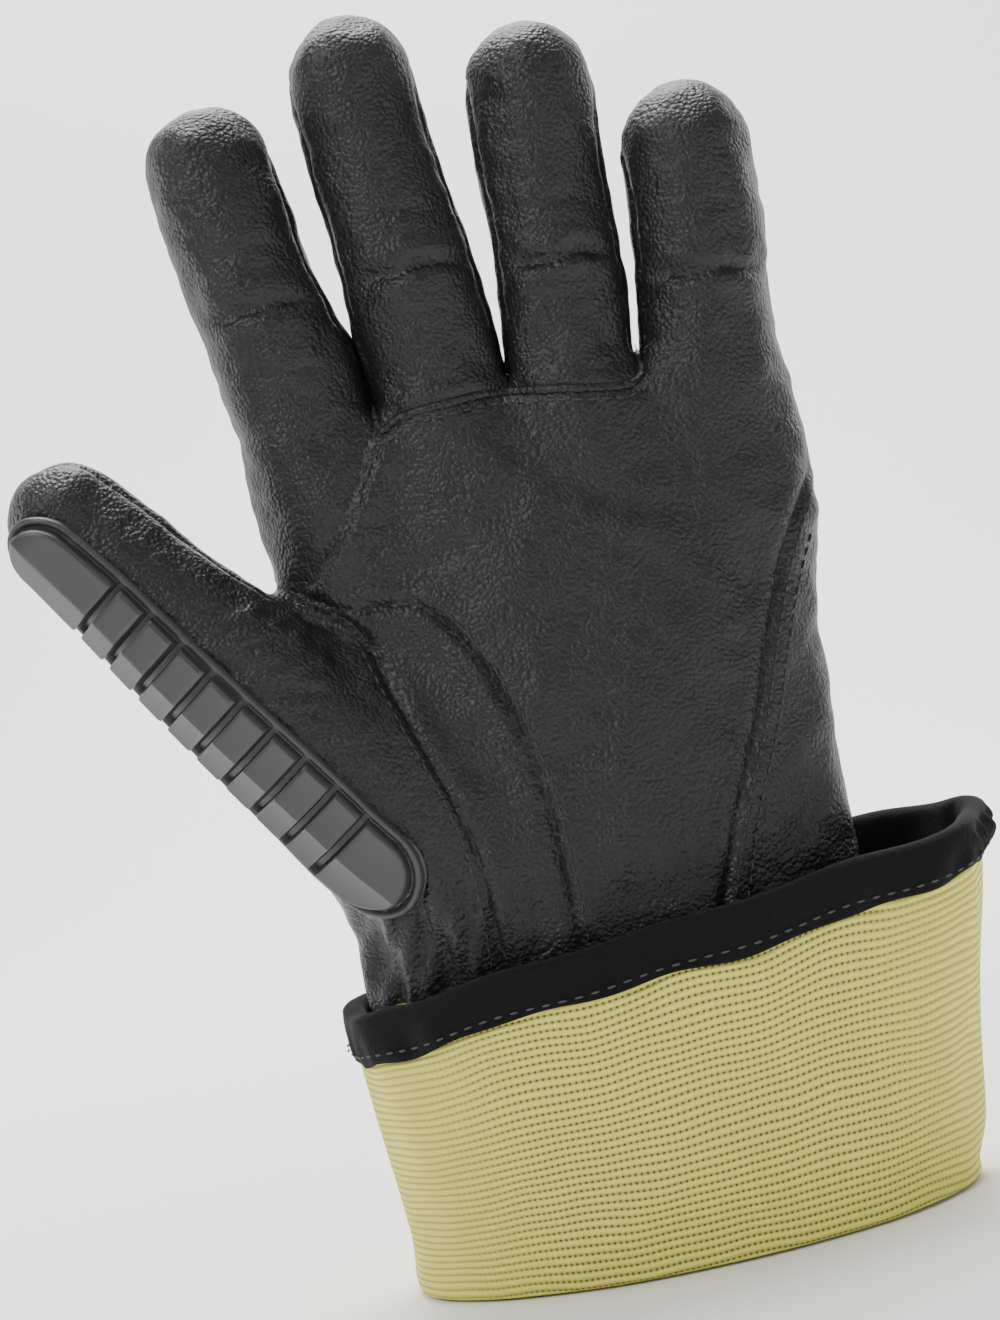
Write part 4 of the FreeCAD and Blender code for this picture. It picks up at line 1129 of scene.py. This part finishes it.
def along_line(line, shift, pitch, z_range):
    """Evenly spaced places beside a line in the plane of the palm."""
    d = np.gradient(line, axis=0)
    d /= np.linalg.norm(d, axis=1, keepdims=True)
    moved = line + np.stack([d[:, 1], -d[:, 0]], 1) * shift
    length = np.concatenate([[0], np.cumsum(np.linalg.norm(np.diff(moved, axis=0), axis=1))])
    at = np.arange(pitch / 2, length[-1], pitch)
    x, z = np.interp(at, length, moved[:, 0]), np.interp(at, length, moved[:, 1])
    keep = (z > z_range[0]) & (z < z_range[1])
    return x[keep], z[keep]


@functools.lru_cache(maxsize=1)
def front_points():
    """The skin's front-facing points and their normals, kept for lookups."""
    v, _, n, _, _ = skin()
    m = n[:, 1] < 0.15
    return v[m], n[m]


def on_front(x, z, lift=0.12):
    """The leather's surface in front of (x, z), with its normal."""
    v, n = front_points()
    points, normals = [], []
    for a, b in zip(x, z):
        d = (v[:, 0] - a) ** 2 + (v[:, 2] - b) ** 2
        near = np.argpartition(d, 6)[:6]
        near = near[v[near, 1] < v[near, 1].min() + 2.5]
        weight = 1 / (d[near] + 0.02)
        normal = (n[near] * weight[:, None]).sum(0)
        normal /= np.linalg.norm(normal)
        points.append([a, (v[near, 1] * weight).sum() / weight.sum(), b] + normal * lift)
        normals.append(normal)
    return np.array(points), np.array(normals)


# ---- Operators ----

HAND_PANELS = ("palm_panel", "back_panel", "middle_ring_panel", "thumb_gusset", "wrist_wedge",
               "index_middle_fork", "middle_ring_fork", "ring_little_fork")


class PieceOperator:
    bl_options = {"REGISTER", "UNDO"}

    def execute(self, context):
        self.make()
        return {"FINISHED"}


class GLOVE_OT_palm(PieceOperator, bpy.types.Operator):
    """Leather of the hand: palm, back, thumb gusset, wrist wedge, finger fronts above the welt, and forks"""
    bl_idname, bl_label = "glove.palm", "Hand Leather"

    def make(self):
        for name in HAND_PANELS:
            panel_piece(name, [name], on_hand)


class GLOVE_OT_fingers(PieceOperator, bpy.types.Operator):
    """Leather of the four fingers beyond their creases"""
    bl_idname, bl_label = "glove.fingers", "Finger Leather"

    def make(self):
        for finger in FINGERS:
            for name in panels():
                if name.startswith(finger + "_") and name not in HAND_PANELS:
                    panel_piece(name, [name], lambda o, f=finger: bend_finger(o, f))


class GLOVE_OT_thumb(PieceOperator, bpy.types.Operator):
    """Leather of the thumb"""
    bl_idname, bl_label = "glove.thumb", "Thumb Leather"

    def make(self):
        for name in ("thumb_front", "thumb_back"):
            panel_piece(name, [name], bend_thumb)


class GLOVE_OT_linings(PieceOperator, bpy.types.Operator):
    """Knit lining inside the leather, body by body"""
    bl_idname, bl_label = "glove.linings", "Linings"

    def make(self):
        _, f, _, _, smooth = skin()
        groups = {"hand_liner": [], "thumb_liner": [], **{name + "_liner": [] for name in FINGERS}}
        for name, faces in panels().items():
            body = "hand" if name in HAND_PANELS else name.split("_")[0]
            groups[body + "_liner"].append(faces)
        inside = mm("leather") + 0.1
        base_n = vertex_normals(smooth, f)
        for name, parts in groups.items():
            faces = np.vstack(parts)
            points, tris, _, rest = closed_shell(
                smooth - base_n * 0.6, faces, base_n, -inside, inside + mm("knit"))
            uv = np.stack([points[tris.ravel(), 0], points[tris.ravel(), 2]], 1) * MM
            obj = mesh_object(name.replace("liner", "knit"), points, tris, knit(), rest=rest, uv=uv)
            finger = name.split("_")[0]
            if name == "hand_liner":
                on_hand(obj)
            elif name == "thumb_liner":
                bend_thumb(obj)
            else:
                bend_finger(obj, finger)
            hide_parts(name)


class GLOVE_OT_guards(PieceOperator, bpy.types.Operator):
    """Moulded rubber guards on the thumb, the backs of the fingers, the knuckles and the back of the hand"""
    bl_idname, bl_label = "glove.guards", "Guards"

    def make(self):
        top = THUMB_END + 9
        slits = [top - 26 - THUMB_RIB_PITCH * k for k in range(9)]
        width = smooth_table([(0, 13.0), (30, 13.6), (70, 12.8), (top - 26, 12.0), (top, 10.2)], 1, 4.0)
        guard_piece("thumb_guard", thumb_surface, top - THUMB_GUARD_LONG, top, width, slits, "along",
                    ["thumb_guard_pad", "thumb_guard_blocks"], bend_thumb, top=4.5)
        for finger, (_, _, knuckle, _, stations) in FINGERS.items():
            low, high = ROOT_Z + knuckle + 5, stations[-1][0] + 2
            cuts = list(np.arange(low + 7, high - 6, 7.0))
            guard_piece(finger + "_guard", finger_surface(finger), low, high, even(FINGER_GUARD_HALF_WIDE),
                        cuts, "along", [finger + "_guard_pad", finger + "_guard_blocks"],
                        lambda o, f=finger: bend_finger(o, f), top=4.6)
        guard_piece("knuckle_guard", back_surface, *KNUCKLE_GUARD, even(BACK_GUARD_HALF_WIDE),
                    [FINGER_PITCH / 2 * k for k in range(-3, 4)], "across",
                    ["knuckle_guard_pad", "knuckle_guard_blocks"], on_hand, ends=6.0, step=0.7)
        guard_piece("back_guard", back_surface, *BACK_GUARD, even(BACK_GUARD_HALF_WIDE),
                    [BACK_GUARD[0] + BACK_RIB_PITCH * k for k in range(1, 5)], "along",
                    ["back_guard_pad", "back_guard_blocks"], on_hand, ends=6.0, step=0.7)


class GLOVE_OT_cuff(PieceOperator, bpy.types.Operator):
    """Cuff turned back on itself, so that its knit lining is outside and its leather inside"""
    bl_idname, bl_label = "glove.cuff", "Cuff"

    def make(self):
        angle = np.linspace(0, 2 * math.pi, AROUND, endpoint=False)
        lining = sweep("cuff_knit", u_section(angle, 0.0, 1.55), knit())
        leather = sweep("cuff_suede", u_section(angle, 1.62, 2.6), suede())
        for obj, node, slot in ((lining, "cuff_lining", "aramid_knit"), (leather, "cuff_leather", "suede")):
            on_hand(obj)
            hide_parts(node)


class GLOVE_OT_binding(PieceOperator, bpy.types.Operator):
    """Velvet binding over the cuff's rim"""
    bl_idname, bl_label = "glove.binding", "Binding"

    def make(self):
        angle = np.linspace(0, 2 * math.pi, AROUND, endpoint=False)
        obj = sweep("rim_binding", binding_section(angle), velvet())
        on_hand(obj)
        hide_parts("cuff_binding")


class GLOVE_OT_welt(PieceOperator, bpy.types.Operator):
    """Rolled welt at the roots of the middle and ring fingers"""
    bl_idname, bl_label = "glove.welt", "Welt"

    def make(self):
        x, z = along_line(LINES["welt"], 0.2, 0.8, (170, 187.5))
        points, normals = on_front(x, z, 0.25)
        t = np.gradient(points, axis=0)
        t /= np.linalg.norm(t, axis=1, keepdims=True)
        side = np.cross(normals, t)
        rings = []
        for k, p in enumerate(points):
            fade = min(1.0, 0.25 + min(k, len(points) - 1 - k) / 5)
            rings.append([p + (side[k] * math.cos(a) + normals[k] * math.sin(a) * 0.8) * 0.95 * fade
                          for a in np.linspace(0, 2 * math.pi, 12, endpoint=False)])
        rings = np.array(rings)
        m, n = rings.shape[:2]
        i = np.arange(m * n).reshape(m, n)
        j = np.roll(i, -1, axis=1)
        faces = [tuple(map(int, q)) for q in np.stack([i[:-1], j[:-1], j[1:], i[1:]], -1).reshape(-1, 4)]
        faces += [tuple(map(int, i[0, ::-1])), tuple(map(int, i[-1]))]
        flat = rings.reshape(-1, 3)
        obj = mesh_object("welt_roll", flat, faces, goatskin(), rest=flat)
        outward(obj)
        on_hand(obj)
        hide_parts("finger_base_welt")


def outward(obj):
    """Turns a closed mesh's faces outwards."""
    bm = bmesh.new()
    bm.from_mesh(obj.data)
    bmesh.ops.recalc_face_normals(bm, faces=bm.faces)
    bm.to_mesh(obj.data)
    bm.free()


class GLOVE_OT_stitching(PieceOperator, bpy.types.Operator):
    """Stitches beside the seams and round the binding"""
    bl_idname, bl_label = "glove.stitching", "Stitching"

    def make(self):
        pitch = mm("stitch_pitch")
        thread = plain("glove_thread", settings().thread_colour, 0.5)
        pale = plain("glove_pale_thread", (0.05, 0.05, 0.052), 0.7)

        def row(line, shift, low, high):
            return on_front(*along_line(LINES[line], shift, pitch, (low, high)))

        pieces = {
            "thumb_seam_stitches": ([row("thumb", 2.0, 66, 142)], ["thumb_seam_thread"]),
            "gusset_stitches": ([row("gusset", -2.0, 66, 143)], ["gusset_thread"]),
            "wedge_stitches": ([row("wedge", -2.0, 70, 148), row("wedge", -4.6, 70, 140)], ["wedge_thread"]),
            "welt_stitches": ([row("welt", 2.6, 176, 186)], []),
        }
        for name, (rows, nodes) in pieces.items():
            obj = stitches(name, rows, thread)
            on_hand(obj)
            if nodes:
                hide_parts(*nodes)
        angle = np.linspace(0, 2 * math.pi, 2400, endpoint=False)
        rim = rim_height(angle)
        path = cuff_point(angle, rim - 7.2, -1.9)
        length = np.concatenate([[0], np.cumsum(np.linalg.norm(np.diff(path, axis=0), axis=1))])
        at = np.arange(0, length[-1], 3.4)
        points = np.stack([np.interp(at, length, path[:, i]) for i in range(3)], 1)
        out = points - np.array([18.0, 0, 0])
        out[:, 2] = 0
        out[:, 1] *= 3.5
        out /= np.linalg.norm(out, axis=1, keepdims=True)
        obj = stitches("binding_stitches", [(points, out)], pale, 0.0019, 0.0005)
        on_hand(obj)


class GLOVE_OT_stage(PieceOperator, bpy.types.Operator):
    """Floor, soft lights and camera"""
    bl_idname, bl_label = "glove.stage", "Stage"

    def make(self):
        scene = bpy.context.scene
        rows, length, half_wide, below = 60, 6.0, 4.0, 0.3  # the last in millimetres
        flat_end, bend, bend_end, radius, front = 2.6, 0.8, 3.4, 0.5, 1.6
        points, faces = [], []
        for i in range(rows):
            t = i / (rows - 1) * length
            if t < flat_end:
                y, z = t - front, 0.0
            elif t < bend_end:
                a = (t - flat_end) / bend * math.pi / 2
                y, z = 1.0 + radius * math.sin(a), radius - radius * math.cos(a)
            else:
                y, z = 1.0 + radius, radius + (t - bend_end)
            points += [(side * half_wide / MM, y / MM, z / MM - below) for side in (-1, 1)]
            if i:
                k = 2 * i
                faces.append((k - 2, k - 1, k + 1, k))
        floor = mesh_object("studio_floor", points, faces, plain("studio_paper", (0.86, 0.86, 0.86), 0.9))
        lights = [
            ("key", (-0.60, -0.75, 0.80), 0.40, 8.0), ("fill", (0.80, -0.80, 0.30), 0.5, 2.6),
            ("top", (0.10, -0.05, 1.10), 0.5, 3.0), ("rim", (0.75, 0.50, 0.45), 0.5, 2.5),
            ("rim_left", (-0.80, 0.35, 0.35), 0.5, 2.5), ("backdrop", (0.0, 0.75, 1.7), 1.2, 75.0),
        ]
        for name, place, size, power in lights:
            data = bpy.data.lights.new(name, "AREA")
            data.shape, data.size, data.energy = "SQUARE", size, power
            obj = bpy.data.objects.new(name, data)
            obj.location = place
            aim = Vector((0.0, 1.5, 0.2) if name == "backdrop" else (0.0, 0.0, 0.13)) - Vector(place)
            obj.rotation_euler = aim.to_track_quat("-Z", "Y").to_euler()
            scene.collection.objects.link(obj)
        world = bpy.data.worlds.new("studio")
        world.use_nodes = True
        world.node_tree.nodes["Background"].inputs["Color"].default_value = (1, 1, 1, 1)
        world.node_tree.nodes["Background"].inputs["Strength"].default_value = 0.20
        scene.world = world
        camera = bpy.data.objects.new("camera", bpy.data.cameras.new("camera"))
        camera.data.lens, camera.data.sensor_width = 67.5, 36.0
        tilt = math.radians(12)
        up, forward = Vector((math.sin(tilt), 0, math.cos(tilt))), Vector((0, 1, 0))
        right = forward.cross(up)
        turn = Matrix((right, up, -forward)).transposed()
        camera.matrix_world = Matrix.Translation((0.0002, -0.528, 0.1281)) @ turn.to_4x4()
        camera.data.clip_start = 0.01
        scene.collection.objects.link(camera)
        scene.camera = camera


PIECES = (GLOVE_OT_palm, GLOVE_OT_fingers, GLOVE_OT_thumb, GLOVE_OT_linings, GLOVE_OT_guards, GLOVE_OT_cuff,
          GLOVE_OT_binding, GLOVE_OT_welt, GLOVE_OT_stitching, GLOVE_OT_stage)


class GLOVE_PT_sidebar(bpy.types.Panel):
    """Lists the glove's pieces"""
    bl_idname, bl_label = "GLOVE_PT_sidebar", "Leather Work Glove"
    bl_space_type, bl_region_type, bl_category = "VIEW_3D", "UI", "Glove"

    def draw(self, context):
        for name in GloveSettings.__annotations__:
            self.layout.prop(context.scene.glove, name)
        for piece in PIECES:
            self.layout.operator(piece.bl_idname)


CLASSES = (GloveSettings, *PIECES, GLOVE_PT_sidebar)


def register():
    for cls in CLASSES:
        bpy.utils.register_class(cls)
    bpy.types.Scene.glove = bpy.props.PointerProperty(type=GloveSettings)


def unregister():
    del bpy.types.Scene.glove
    for cls in reversed(CLASSES):
        bpy.utils.unregister_class(cls)


def main():
    register()
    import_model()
    for piece in PIECES:
        getattr(bpy.ops.glove, piece.bl_idname.split(".")[1])()


if __name__ == "__main__":
    main()
